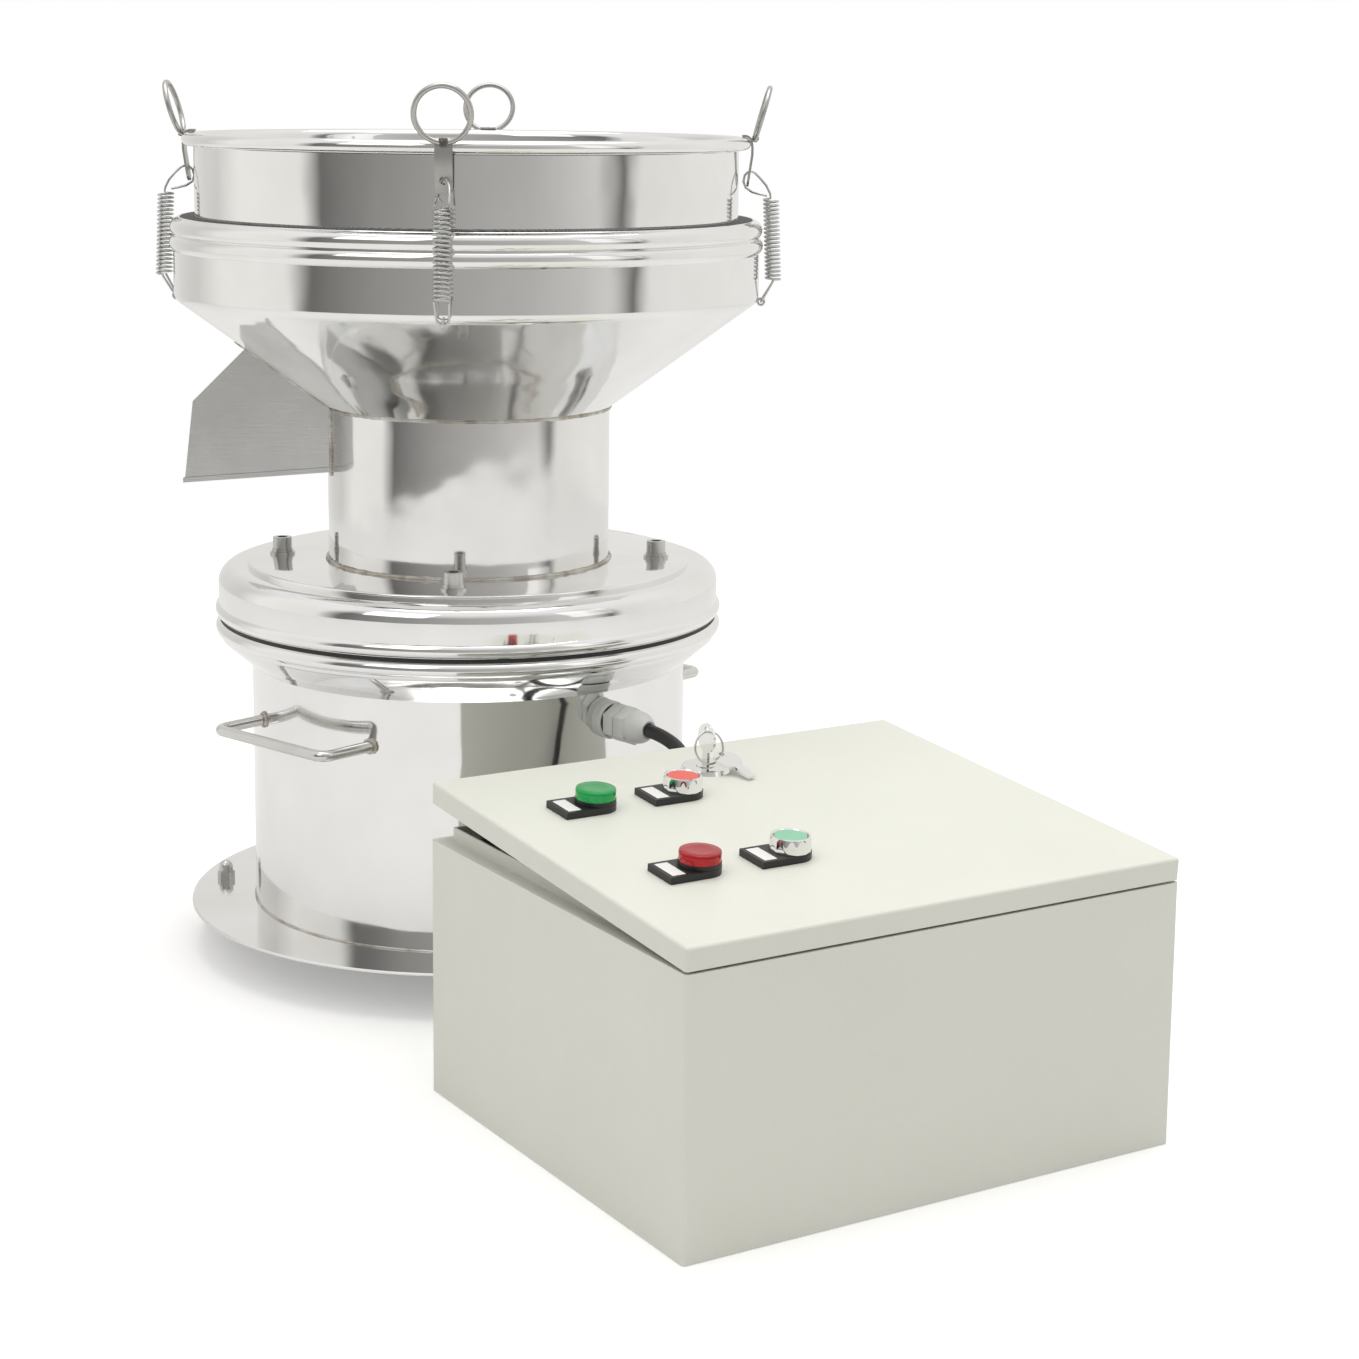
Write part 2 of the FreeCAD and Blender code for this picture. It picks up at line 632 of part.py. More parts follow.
def buildNeck():
    neck = revolvedBody("neck", [
        ("neckRadius - sheetWall", "headTop"), ("neckRadius", "headTop"),
        ("neckRadius", "neckTop"), ("neckRadius - sheetWall", "neckTop")])
    window = neck.newObject("PartDesign::SubtractiveBox", "SpoutWindow")
    sill = spoutFloor(s.neckRadius) + s.fitGap
    window.Length = 4 * s.sheetWall + 10
    window.Width = 2 * (s.spoutHalf - s.sheetWall)
    window.Height = s.neckTop - sill - 4
    window.Placement = Placement(Vector(-s.neckRadius - 5, -(s.spoutHalf - s.sheetWall), sill), Rotation())
    doc.recompute()
    before = neck.Shape.Volume
    neck.Tip = window
    doc.recompute()
    assert neck.Shape.Volume <= before, "window missing"
    seat(neck)

    inner = s.neckRadius - s.sheetWall - s.fitGap
    rise = math.tan(math.radians(s.deckSlope))
    drum = Part.makeCylinder(inner, s.panCornerZ - s.headTop, Vector(0, 0, s.headTop))
    corners = [(-inner - 1, s.deckLow - s.sheetWall), (inner + 1, s.deckLow - s.sheetWall + 2 * inner * rise),
               (inner + 1, s.deckLow + 2 * inner * rise), (-inner - 1, s.deckLow)]
    seat(feature("inner_deck", [drum.common(extrudedOutline(corners, inner + 1))]))

    fall = math.tan(math.radians(s.spoutSlope))
    reach = s.spoutReach
    root = s.neckRadius - 30
    floorZ = s.spoutFloorZ
    outTop = reach - s.spoutLean
    topZ = floorZ + s.spoutHeight
    shell = extrudedOutline([(-reach, floorZ), (-outTop, topZ), (-outTop + 70, topZ + 70),
                             (-root, topZ + 70), (-root, floorZ + (reach - root) * fall)], s.spoutHalf)
    wall = s.sheetWall
    skew = wall * math.sqrt(2)
    lift = s.spoutFloorThick
    void = extrudedOutline([(-reach - 20, floorZ + lift - 20 * fall), (-outTop - 20, topZ - 20 - skew),
                            (-outTop + 80, topZ + 80 - skew), (-root + 1, topZ + 80 - skew),
                            (-root + 1, floorZ + lift + (reach - root) * fall)], s.spoutHalf - wall)
    lipped = extrudedOutline([(-reach - 1, floorZ - fall), (-reach - 1, floorZ + lift - fall),
                              (-root, floorZ + lift + (reach - root) * fall),
                              (-root, floorZ + (reach - root) * fall)], s.spoutHalf + s.spoutLip)
    spout = shell.cut(void).fuse(lipped)
    gap = s.fitGap
    spout = spout.cut(Part.makeCylinder(s.neckRadius + gap, s.panCornerZ - s.capTop, Vector(0, 0, s.capTop)))
    rise = s.panCornerZ - s.neckTop
    cone = Part.makeCone(s.neckRadius + gap, s.panRadius + gap, rise, Vector(0, 0, s.neckTop))
    spout = spout.cut(cone).removeSplitter()
    seat(feature("discharge_spout", [spout]))


def buildPan():
    lowBead = beadRadius("panBeadLowHeight", "panBeadLowProud")
    highBead = beadRadius("panBeadHighHeight", "panBeadHighProud")
    innerR = "panRadius - sheetWall"
    innerTangentR = "panCurveR + (panFillet - sheetWall) * sin(panSlope)"
    innerTangentZ = "panCurveZ - (panFillet - sheetWall) * cos(panSlope)"
    pan = revolvedBody("hopper_pan", [
        ("neckRadius", "neckTop"),
        ("panCurveR + panFillet * sin(panSlope)", "panCurveZ - panFillet * cos(panSlope)", "panFillet", 1),
        ("panRadius", "panCurveZ"),
        ("panRadius", "panBeadLowZ - panBeadLowHeight / 2", lowBead, 1),
        ("panRadius", "panBeadLowZ + panBeadLowHeight / 2"),
        ("panRadius", "panBeadHighZ - panBeadHighHeight / 2", highBead, 1),
        ("panRadius", "panBeadHighZ + panBeadHighHeight / 2"),
        ("mouthRadius", "mouthTop"), ("mouthRadius - sheetWall", "mouthTop"),
        ("mouthRadius - sheetWall", "ledgeTop"), ("ledgeBore", "ledgeTop"),
        ("ledgeBore", "ledgeTop - sheetWall"), (innerR, "ledgeTop - sheetWall"),
        (innerR, "panCurveZ", "panFillet - sheetWall", -1),
        (innerTangentR, innerTangentZ),
        ("neckRadius - sheetWall",
         f"({innerTangentZ}) - (({innerTangentR}) - (neckRadius - sheetWall)) * tan(panSlope)"),
        ("neckRadius - sheetWall", "neckTop")])
    seat(pan)

    seal = revolvedBody("screen_seal", [
        ("ledgeBore", "ledgeTop"), ("sealOuter", "ledgeTop"), ("sealOuter", "sealTop"), ("ledgeBore", "sealTop")])
    seat(seal)
    screen = revolvedBody("screen_mesh", [
        ("0", "sealTop"), ("frameRadius", "sealTop"), ("frameRadius", "screenTop"), ("0", "screenTop")])
    seat(screen)
    rimInner = "rimRadius - frameRadius + sheetWall"
    frame = revolvedBody("sieve_frame", [
        ("ledgeBore", "screenTop"), ("frameRadius", "screenTop"), ("frameRadius", "rimCentreZ - rimRoll"),
        ("rimRadius", "rimCentreZ - rimRoll", "rimRoll", 1),
        ("rimRadius + rimRoll", "rimCentreZ", "rimRoll", 1),
        ("rimRadius", "rimTop", rimInner, 1),
        ("frameRadius - sheetWall", f"rimTop - ({rimInner})"),
        ("frameRadius - sheetWall", "screenTop + sheetWall"), ("ledgeBore", "screenTop + sheetWall")])
    seat(frame)


# ---------------------------------------------------------------- clamps

def clampPoints():
    # Section points of one clamp, as (radius, height).
    down = math.radians(30)
    stand = s.panFillet + s.eyeRadius + s.eyeWire + s.fitGap
    low = Vector(s.panCurveR + stand * math.cos(down), 0, s.panCurveZ - stand * math.sin(down))
    share = (s.hookEyeZ - s.strapFootZ) / (s.rimCentreZ - 9 - s.strapFootZ)
    inner = s.rimRadius + s.rimRoll + s.softGap
    foot = s.frameRadius + 6.2
    face = foot + (inner - foot) * share + s.strapThick
    high = Vector(face + s.eyeRadius + s.eyeWire - 0.3, 0, s.hookEyeZ)
    return SimpleNamespace(low=low, high=high, foot=foot, inner=inner)


def springLoop(eye, coilEnd):
    # A long end loop: two legs from the coil to a round bend that passes through the eye.
    mean = s.coilRadius - s.coilWire
    along = (coilEnd - eye).normalize()
    side = Vector(0, 1, 0)
    legA = coilEnd + side * mean
    legB = coilEnd - side * mean
    bendA = eye + along * mean + side * mean
    bendB = eye + along * mean - side * mean
    edges = [Part.LineSegment(legA, bendA).toShape(), Part.Arc(bendA, eye, bendB).toShape(),
             Part.LineSegment(bendB, legB).toShape()]
    return roundBar(Part.Wire(edges), s.coilWire)


def buildClamps():
    points = clampPoints()
    half = s.clampWidth / 2
    names = ["right", "back", "left", "front"]
    eyes = []
    for k, name in enumerate(names):
        turn = s.headTurn + 90 * k
        innerR = s.rimRoll + s.softGap
        outerR = innerR + s.strapThick
        rim = Vector(s.rimRadius, -half, s.rimCentreZ)

        def onRim(radius, degrees):
            a = math.radians(degrees)
            return rim + Vector(radius * math.cos(a), 0, radius * math.sin(a))

        wrap = s.tongueWrap
        bend = Vector(points.inner, -half, s.rimCentreZ - 9)
        bendOut = bend + Vector(s.strapThick, 0, 0)
        foot = Vector(points.foot, -half, s.strapFootZ)
        footOut = foot + Vector(s.strapThick, 0, 0)
        strap = Part.Wire([
            Part.LineSegment(foot, bend).toShape(), Part.LineSegment(bend, onRim(innerR, 0)).toShape(),
            Part.Arc(onRim(innerR, 0), onRim(innerR, wrap / 2), onRim(innerR, wrap)).toShape(),
            Part.LineSegment(onRim(innerR, wrap), onRim(outerR, wrap)).toShape(),
            Part.Arc(onRim(outerR, wrap), onRim(outerR, wrap / 2), onRim(outerR, 0)).toShape(),
            Part.LineSegment(onRim(outerR, 0), bendOut).toShape(),
            Part.LineSegment(bendOut, footOut).toShape(), Part.LineSegment(footOut, foot).toShape()])
        strap = Part.Face(strap).extrude(Vector(0, 2 * half, 0))
        eye = torusAt(points.high, Vector(0, 1, 0), s.eyeRadius, s.eyeWire)
        lean = math.radians(s.pullRingLean)
        weld = math.radians(25)
        reach = outerR + s.pullRingWire - 0.6
        ringFoot = Vector(s.rimRadius + reach * math.cos(weld), 0, s.rimCentreZ + reach * math.sin(weld))
        up = Vector(math.sin(lean), 0, math.cos(lean))
        ring = torusAt(ringFoot + up * s.pullRingRadius, Vector(math.cos(lean), 0, -math.sin(lean)),
                       s.pullRingRadius, s.pullRingWire)
        hook = strap.fuse([eye, ring])
        hook.rotate(Vector(), Vector(0, 0, 1), turn)
        seat(feature(f"clamp_hook_{name}", [hook]))

        top = Vector(s.coilTopR, 0, s.coilTopZ)
        bottom = Vector(s.coilBottomR, 0, s.coilBottomZ)
        axis = top - bottom
        coil = Part.makeCylinder(s.coilRadius, axis.Length, bottom, axis)
        coil = coil.cut(Part.makeCylinder(s.coilRadius - 2 * s.coilWire, axis.Length, bottom, axis))
        inset = axis.normalize() * 0.5
        spring = coil.fuse([springLoop(points.high, top - inset), springLoop(points.low, bottom + inset)])
        spring.rotate(Vector(), Vector(0, 0, 1), turn)
        seat(feature(f"clamp_spring_{name}", [spring]))

        anchor = torusAt(points.low, Vector(0, 1, 0), s.eyeRadius, s.eyeWire)
        anchor.rotate(Vector(), Vector(0, 0, 1), turn)
        eyes.append(anchor)
    seat(feature("spring_anchors", eyes))


# ---------------------------------------------------------------- cable glands and cable

def boxPlacement():
    return Placement(Vector(s.sieveX + s.boxX, s.sieveY + s.boxY, 0), Rotation(Vector(0, 0, 1), s.boxTurn))


def glandPlaces():
    # Each gland's seat: its local Z runs out of the wall that it is fixed to.
    out = polar(1, s.glandAngle)
    barrel = Placement(Vector(s.sieveX, s.sieveY, s.glandZ) + out * s.barrelRadius, Rotation(Vector(0, 0, 1), out))
    wall = Placement(Vector(s.boxGlandU, s.boxWidth, s.boxGlandZ), Rotation(Vector(0, 0, 1), Vector(0, 1, 0)))
    return [(barrel, s.sheetWall, s.barrelRadius), (boxPlacement().multiply(wall), s.boxWall, None)]


def buildGlands():
    bodies = []
    seals = []
    caps = []
    locknuts = []
    for place, wall, curve in glandPlaces():
        collar = Part.makeCylinder(s.glandCollar, s.glandCollarThick - s.fitGap, Vector(0, 0, s.fitGap))
        if curve:
            upright = place.Rotation.inverted().multVec(Vector(0, 0, 1))
            drum = Part.makeCylinder(curve + s.fitGap, 80, Vector(0, 0, -curve) - upright * 40, upright)
            low = Part.makeCylinder(s.glandCollar, s.glandCollarThick + 2, Vector(0, 0, -2))
            collar = low.cut(drum)
        thread = Part.makeCylinder(s.glandThread, s.glandBodyEnd + 12 + wall, Vector(0, 0, -12 - wall))
        neckBack = s.glandCollarThick + s.glandSealThick + s.fitGap
        hexagon = hexPrism(s.glandFlats, neckBack, s.glandBodyEnd - neckBack)
        body = collar.fuse([thread, hexagon])
        body = body.cut(Part.makeCylinder(s.cableRadius + s.fitGap, 120, Vector(0, 0, -40)))
        seal = Part.makeCylinder(s.glandCollar - 2, s.glandSealThick, Vector(0, 0, s.glandCollarThick + s.fitGap))
        seal = seal.cut(Part.makeCylinder(s.glandThread + s.fitGap, 40))
        cap = hexPrism(s.glandFlats, s.glandBodyEnd, s.glandCapEnd - s.glandBodyEnd)
        crown = Part.makeCone(s.glandFlats * 0.49, s.glandFlats * 0.3, s.glandTip - s.glandCapEnd,
                              Vector(0, 0, s.glandCapEnd))
        cap = cap.fuse(crown).removeSplitter()
        cap = cap.cut(Part.makeCylinder(s.cableRadius + s.fitGap, s.glandBoreDepth,
                                        Vector(0, 0, s.glandTip - s.glandBoreDepth)))
        locknut = hexPrism(s.glandFlats, -wall - 5 - 2 * s.fitGap, 5)
        if curve:
            locknut.translate(Vector(0, 0, -0.9))
        locknut = locknut.cut(Part.makeCylinder(s.glandThread + s.runGap, 40, Vector(0, 0, -30)))
        for shape, group in ((body, bodies), (seal, seals), (cap, caps), (locknut, locknuts)):
            shape.Placement = place.multiply(shape.Placement)
            group.append(shape)
    feature("gland_bodies", bodies)
    feature("gland_seals", seals)
    feature("gland_caps", caps)
    feature("gland_locknuts", locknuts)


# The cable leaves the barrel's gland, drops behind the lid and comes back to the box's gland.
# Between the two gland points its corners are given in the box's own axes.
CABLE_ROUTE = [
    Vector(240, 379, 203),
    Vector(230, 360, 170),
    Vector(208, 360, 120),
    Vector(189, 391, 80),
    Vector(194, 439, 56),
    Vector(227, 481, 49),
    Vector(279, 497, 54),
    Vector(327, 481, 63),
]


def cablePoints():
    first, last = [place for place, wall, curve in glandPlaces()]
    start = first.multVec(Vector(0, 0, s.glandTip - s.glandBoreDepth))
    clear = first.multVec(Vector(0, 0, s.glandTip + 27))
    end = last.multVec(Vector(0, 0, s.glandTip - s.glandBoreDepth))
    arrive = last.multVec(Vector(0, 0, s.glandTip + 37))
    box = boxPlacement()
    return [start, clear] + [box.multVec(point) for point in CABLE_ROUTE] + [arrive, end]


def cableRadii(points):
    radii = []
    for i in range(1, len(points) - 1):
        before = points[i] - points[i - 1]
        after = points[i + 1] - points[i]
        turn = before.getAngle(after)
        radii.append(0.45 * min(before.Length, after.Length) / math.tan(turn / 2))
    return radii


def buildCable():
    points = cablePoints()
    radii = cableRadii(points)
    print("cable radii", [round(r, 1) for r in radii])
    feature("power_cable", [roundBar(routeWire(points, radii), s.cableRadius)])


# ---------------------------------------------------------------- control box

def frameRing(outerU, outerV, inset, width, bottom, height):
    outer = Part.makeBox(outerU - 2 * inset, outerV - 2 * inset, height, Vector(inset, inset, bottom))
    deep = inset + width
    return outer.cut(Part.makeBox(outerU - 2 * deep, outerV - 2 * deep, height, Vector(deep, deep, bottom)))


def inBox(obj):
    obj.Placement = Placement(Vector(), Rotation(Vector(0, 0, 1), s.boxTurn))
    obj.setExpression("Placement.Base.x", bound("sieveX + boxX"))
    obj.setExpression("Placement.Base.y", bound("sieveY + boxY"))
    return obj


def lidPlacement():
    # The lid stands a little open about the hinge line.
    hinge = Vector(0, s.hingeV, s.hingeZ)
    tilt = Rotation(Vector(1, 0, 0), s.lidAjar)
    return boxPlacement().multiply(Placement(hinge - tilt.multVec(hinge), tilt))


def onLid(obj):
    obj.Placement = lidPlacement()
    return obj


def hingeSpots():
    middle = s.boxLength / 2
    return [middle - s.hingeSpread / 2, middle + s.hingeSpread / 2]


def buildBox():
    wall = s.boxWall
    tray = Part.makeBox(s.boxLength, s.boxWidth, s.boxHeight)
    tray = tray.cut(Part.makeBox(s.boxLength - 2 * wall, s.boxWidth - 2 * wall, s.boxHeight, Vector(wall, wall, wall)))
    flange = frameRing(s.boxLength, s.boxWidth, 0, s.gutter + wall, s.boxHeight - wall, wall)
    lip = frameRing(s.boxLength, s.boxWidth, s.gutter, wall, s.boxHeight - wall, s.lipHeight + wall)
    body = tray.fuse([flange, lip]).removeSplitter()
    hole = Part.makeCylinder(s.glandThread + s.fitGap, 10, Vector(s.boxGlandU, s.boxWidth - 5, s.boxGlandZ), Vector(0, 1, 0))
    body = body.cut(hole)
    upright = [edge for edge in body.Edges
               if abs(edge.BoundBox.ZLength - s.boxHeight) < 0.01 and edge.BoundBox.XLength < 0.01
               and edge.BoundBox.YLength < 0.01]
    body = body.makeFillet(s.lidRound, upright)
    inBox(feature("box_body", [body]))

    inset = s.trayInset
    plate = Part.makeBox(s.boxLength - 2 * inset, s.boxWidth - 2 * inset, s.trayThick, Vector(inset, inset, s.trayZ))
    studs = []
    for u in (inset + 12, s.boxLength - inset - 12):
        for v in (inset + 12, s.boxWidth - inset - 12):
            studs.append(Part.makeCylinder(4, s.trayZ - wall, Vector(u, v, wall)))
    inBox(feature("box_mount_plate", [plate.fuse(studs)]))

    trayTop = s.trayZ + s.trayThick
    corner = Vector(s.contactorU, s.contactorV, trayTop)
    contactor = Part.makeBox(s.contactorWide, s.contactorDeep, s.contactorTall, corner)
    middle = (s.contactorDeep - s.contactorHead) / 2
    head = Part.makeBox(s.contactorWide, s.contactorHead, 8, corner + Vector(0, middle, s.contactorTall))
    contactor = contactor.fuse(head).removeSplitter()
    for k in range(4):
        slot = Part.makeBox(7, 12, 20, corner + Vector(3 + 10.5 * k, 0, s.contactorTall - 20))
        contactor = contactor.cut([slot, slot.translated(Vector(0, s.contactorDeep - 12, 0))])
    inBox(feature("contactor", [contactor]))

    pins = []
    for u in hingeSpots():
        pins.append(Part.makeCylinder(s.hingePin, s.hingeLength, Vector(u - s.hingeLength / 2, s.hingeV, s.hingeZ),
                                      Vector(1, 0, 0)))
        boss = Part.makeCylinder(s.hingePin + 0.9, 8, Vector(u - s.hingeLength / 2, s.hingeV, s.hingeZ), Vector(1, 0, 0))
        web = Part.makeBox(8, s.gutter - s.hingeV - s.fitGap, s.hingePin + 0.9,
                           Vector(u - s.hingeLength / 2, s.hingeV, s.hingeZ))
        pins[-1] = pins[-1].fuse([boss, web]).removeSplitter()
    inBox(feature("hinge_pins", pins))


def deviceSpots():
    near = s.deviceNearU
    far = near + s.devicePitchU
    high = s.deviceHighV
    low = high - s.devicePitchV
    return {"lamp_green": (near, high), "lamp_red": (near, low), "button_red": (far, high), "button_green": (far, low)}


def buildLid():
    wall = s.boxWall
    slab = Part.makeBox(s.boxLength, s.boxWidth, s.lidEdge, Vector(0, 0, s.lidBottom))
    edges = [edge for edge in slab.Edges if edge.BoundBox.ZMax > s.lidTop - 0.01 or edge.BoundBox.ZLength > 1]
    slab = slab.makeFillet(s.lidRound, edges)
    lid = slab.cut(Part.makeBox(s.boxLength - 2 * wall, s.boxWidth - 2 * wall, s.lidEdge - wall,
                                Vector(wall, wall, s.lidBottom)))
    for u, v in deviceSpots().values():
        lid = lid.cut(Part.makeCylinder(s.deviceHole, 10, Vector(u, v, s.lidTop - 5)))
    lid = lid.cut(Part.makeCylinder(s.lockStem + s.fitGap, 10, Vector(s.lockU, s.lockV, s.lidTop - 5)))
    onLid(feature("box_lid", [lid]))

    inner = s.gutter + wall / 2 - s.gasketWidth / 2
    bottom = s.boxHeight + s.lipHeight + s.softGap
    onLid(feature("lid_gasket", [frameRing(s.boxLength, s.boxWidth, inner, s.gasketWidth, bottom,
                                           s.lidTop - wall - bottom)]))
    leaves = []
    for u in hingeSpots():
        start = u - s.hingeLength / 2 + 8 + s.softGap
        width = s.hingeLength - 8 - s.softGap
        half = s.hingePin + 0.8
        knuckle = Part.makeCylinder(half, width, Vector(start, s.hingeV, s.hingeZ), Vector(1, 0, 0))
        top = s.lidTop - wall if s.hingeV + half < inner else bottom
        leaf = Part.makeBox(width, 2 * half, top - s.hingeZ, Vector(start, s.hingeV - half, s.hingeZ))
        bore = Part.makeCylinder(s.hingePin + s.runGap, width, Vector(start, s.hingeV, s.hingeZ), Vector(1, 0, 0))
        leaves.append(knuckle.fuse(leaf).removeSplitter().cut(bore))
    onLid(feature("hinge_leaves", leaves))


def legendPlate(u, v):
    half = s.legendWidth / 2
    bar = Part.makeBox(s.legendReach, s.legendWidth, s.legendThick, Vector(u - s.legendReach, v - half, s.lidTop))
    plate = bar.fuse(Part.makeCylinder(half, s.legendThick, Vector(u, v, s.lidTop))).removeSplitter()
    plate = plate.cut(Part.makeCylinder(s.deviceHole, 20, Vector(u, v, s.lidTop - 5)))
    pocket = Part.makeBox(10, 24, s.insertDeep, Vector(u - s.legendReach + 3, v - 12, s.lidTop + s.legendThick - s.insertDeep))
    return plate.cut(pocket), pocket


def buildDevices():
    plates = []
    inserts = []
    lampBases = []
    bezels = []
    blocks = []
    top = s.lidTop
    seatZ = top + s.legendThick
    lens = {}
    caps = {}
    for name, (u, v) in deviceSpots().items():
        plate, insert = legendPlate(u, v)
        plates.append(plate)
        inserts.append(insert)
        spot = Vector(u, v, 0)
        stem = Part.makeCylinder(s.deviceHole - s.fitGap, s.deviceDepth * 0.4 + s.legendThick,
                                 spot + Vector(0, 0, top - s.deviceDepth * 0.4))
        blocks.append(Part.makeBox(30, 30, s.deviceDepth * 0.6, spot + Vector(-15, -15, top - s.deviceDepth)))
        if name.startswith("lamp"):
            base = Part.makeCylinder(s.deviceRadius, s.lampBaseTop - s.legendThick, spot + Vector(0, 0, seatZ))
            lampBases.append(base.fuse(stem).removeSplitter())
            glass = Part.makeCylinder(s.deviceRadius - 0.4, s.lensTop - s.lampBaseTop,
                                      spot + Vector(0, 0, top + s.lampBaseTop))
            rim = [edge for edge in glass.Edges if edge.BoundBox.ZMin > top + s.lensTop - 0.01]
            lens[name] = glass.makeFillet(1.5, rim)
            continue
        ring = Part.makeCylinder(s.deviceRadius - 0.3, s.bezelTop - s.legendThick, spot + Vector(0, 0, seatZ))
        bezel = ring.fuse(stem).removeSplitter()
        well = s.deviceRadius - s.capInset
        bezel = bezel.cut(Part.makeCylinder(well, s.bezelTop, spot + Vector(0, 0, seatZ + 1)))
        bezel = bezel.cut(Part.makeCylinder(well * 0.4, 60, spot + Vector(0, 0, top - 30)))
        bezels.append(bezel)
        capBottom = seatZ + 1 + s.capTravel + s.softGap
        cap = Part.makeCylinder(well - s.softGap, top + s.bezelTop - 0.5 - capBottom, spot + Vector(0, 0, capBottom))
        rodBottom = top - s.deviceDepth * 0.4 + s.capTravel + s.softGap
        rod = Part.makeCylinder(well * 0.4 - s.softGap, capBottom + 1 - rodBottom, spot + Vector(0, 0, rodBottom))
        caps[name] = cap.fuse(rod).removeSplitter()
    onLid(feature("legend_plates", plates))
    onLid(feature("legend_inserts", inserts))
    onLid(feature("lamp_bases", lampBases))
    onLid(feature("button_bezels", bezels))
    onLid(feature("contact_blocks", blocks))
    onLid(feature("lamp_lens_green", [lens["lamp_green"]]))
    onLid(feature("lamp_lens_red", [lens["lamp_red"]]))
    onLid(feature("button_cap_red", [caps["button_red"]]))
    onLid(feature("button_cap_green", [caps["button_green"]]))


def keyShape(length):
    # A flat key in the YZ plane, its bow's hole on the origin and its blade pointing down.
    fromHole = s.keyBow - s.keyHoleEdge
    half = s.keyThick / 2
    bow = Part.makeCylinder(s.keyBow, s.keyThick, Vector(-half, 0, -fromHole), Vector(1, 0, 0))
    blade = Part.makeBox(s.keyThick, s.keyBlade, length, Vector(-half, -s.keyBlade / 2, -fromHole - length))
    hole = Part.makeCylinder(s.keyHole, 10, Vector(-5, 0, 0), Vector(1, 0, 0))
    return bow.fuse(blade).removeSplitter().cut(hole)


def keyPlaces():
    # Where the key's hole is, where the ring's middle is, and how the spare key lies on the ring.
    hole = Vector(s.lockU, s.lockV, s.lidTop + s.keyBowZ + s.keyBow - s.keyHoleEdge)
    fall = math.radians(s.keyRingLean)
    down = Vector(0, -math.cos(fall), -math.sin(fall))
    seat = hole - Vector(0, 0, s.keyHole - s.keyRingWire - s.softGap)
    along = math.radians(s.spareSpot)
    spare = seat + down * (s.keyRingRadius * (1 - math.cos(along))) + Vector(s.keyRingRadius * math.sin(along), 0, 0)
    return SimpleNamespace(hole=hole, seat=seat, centre=seat + down * s.keyRingRadius, down=down, spare=spare)


def buildLock():
    top = s.lidTop
    spot = Vector(s.lockU, s.lockV, 0)
    rose = Part.makeCone(s.lockRadius, s.lockRadius - 1.5, s.lockFace, spot + Vector(0, 0, top))
    stem = Part.makeCylinder(s.lockStem, s.lockDepth, spot + Vector(0, 0, top - s.lockDepth))
    case = rose.fuse(stem).removeSplitter()
    case = case.cut(Part.makeCylinder(s.plugRadius + s.runGap, 60, spot + Vector(0, 0, top - 40)))
    onLid(feature("lock_escutcheon", [case]))

    camTop = top - s.lockDepth - s.fitGap
    plug = Part.makeCylinder(s.plugRadius, s.lockDepth + s.lockFace + 0.5, spot + Vector(0, 0, top - s.lockDepth))
    tail = Part.makeCylinder(3.5, s.camThick + 3, spot + Vector(0, 0, camTop - s.camThick - 2))
    slotDeep = 12.0
    slot = Part.makeBox(s.keyThick + 2 * s.fitGap, s.keyBlade + 2 * s.fitGap, slotDeep)
    slot.translate(spot + Vector(-s.keyThick / 2 - s.fitGap, -s.keyBlade / 2 - s.fitGap,
                                 top + s.lockFace + 0.5 - slotDeep))
    plug = plug.fuse(tail).removeSplitter().cut(slot)
    onLid(feature("lock_plug", [plug]))

    cam = Part.makeBox(s.camReach + 8, 16, s.camThick, spot + Vector(-s.camReach, -8, camTop - s.camThick))
    cam = cam.cut(Part.makeCylinder(3.5 + s.fitGap, 20, spot + Vector(0, 0, camTop - 10)))
    onLid(feature("lock_cam", [cam]))

    places = keyPlaces()
    key = keyShape(s.keyBowZ + 7)
    key.translate(places.hole)
    onLid(feature("lock_key", [key]))
    plane = Vector(1, 0, 0).cross(places.down)
    onLid(feature("key_ring", [torusAt(places.centre, plane, s.keyRingRadius, s.keyRingWire)]))
    spare = keyShape(26)
    blade = Vector(0.25, -0.93, -0.27).normalize()
    face = Vector(0, 0, 1) - blade * blade.z
    spare.Placement = Placement(places.spare, Rotation(face, Vector(), blade * -1, "XZY"))
    onLid(feature("spare_key", [spare]))


def writeParts():
    doc.recompute()
    for obj in doc.Objects:
        assert not {"Invalid", "Error"} & set(obj.State), f"{obj.Name} is {obj.State}"
    for obj in nodes:
        assert not obj.Shape.isNull() and obj.Shape.isValid(), f"{obj.Label} has a bad shape"
        assert obj.Shape.Solids, f"{obj.Label} has no solid"
    for obj in nodes:
        obj.Shape.exportStep(f"parts/{obj.Label}.step")
    print(len(nodes), "nodes")


buildBase()
buildIsolators()
buildHead()
buildNeck()
buildPan()
buildClamps()
buildGlands()
buildCable()
buildBox()
buildLid()
buildDevices()
buildLock()
writeParts()
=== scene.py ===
import json
import math

import bmesh
import bpy
from mathutils import Matrix, Vector, noise


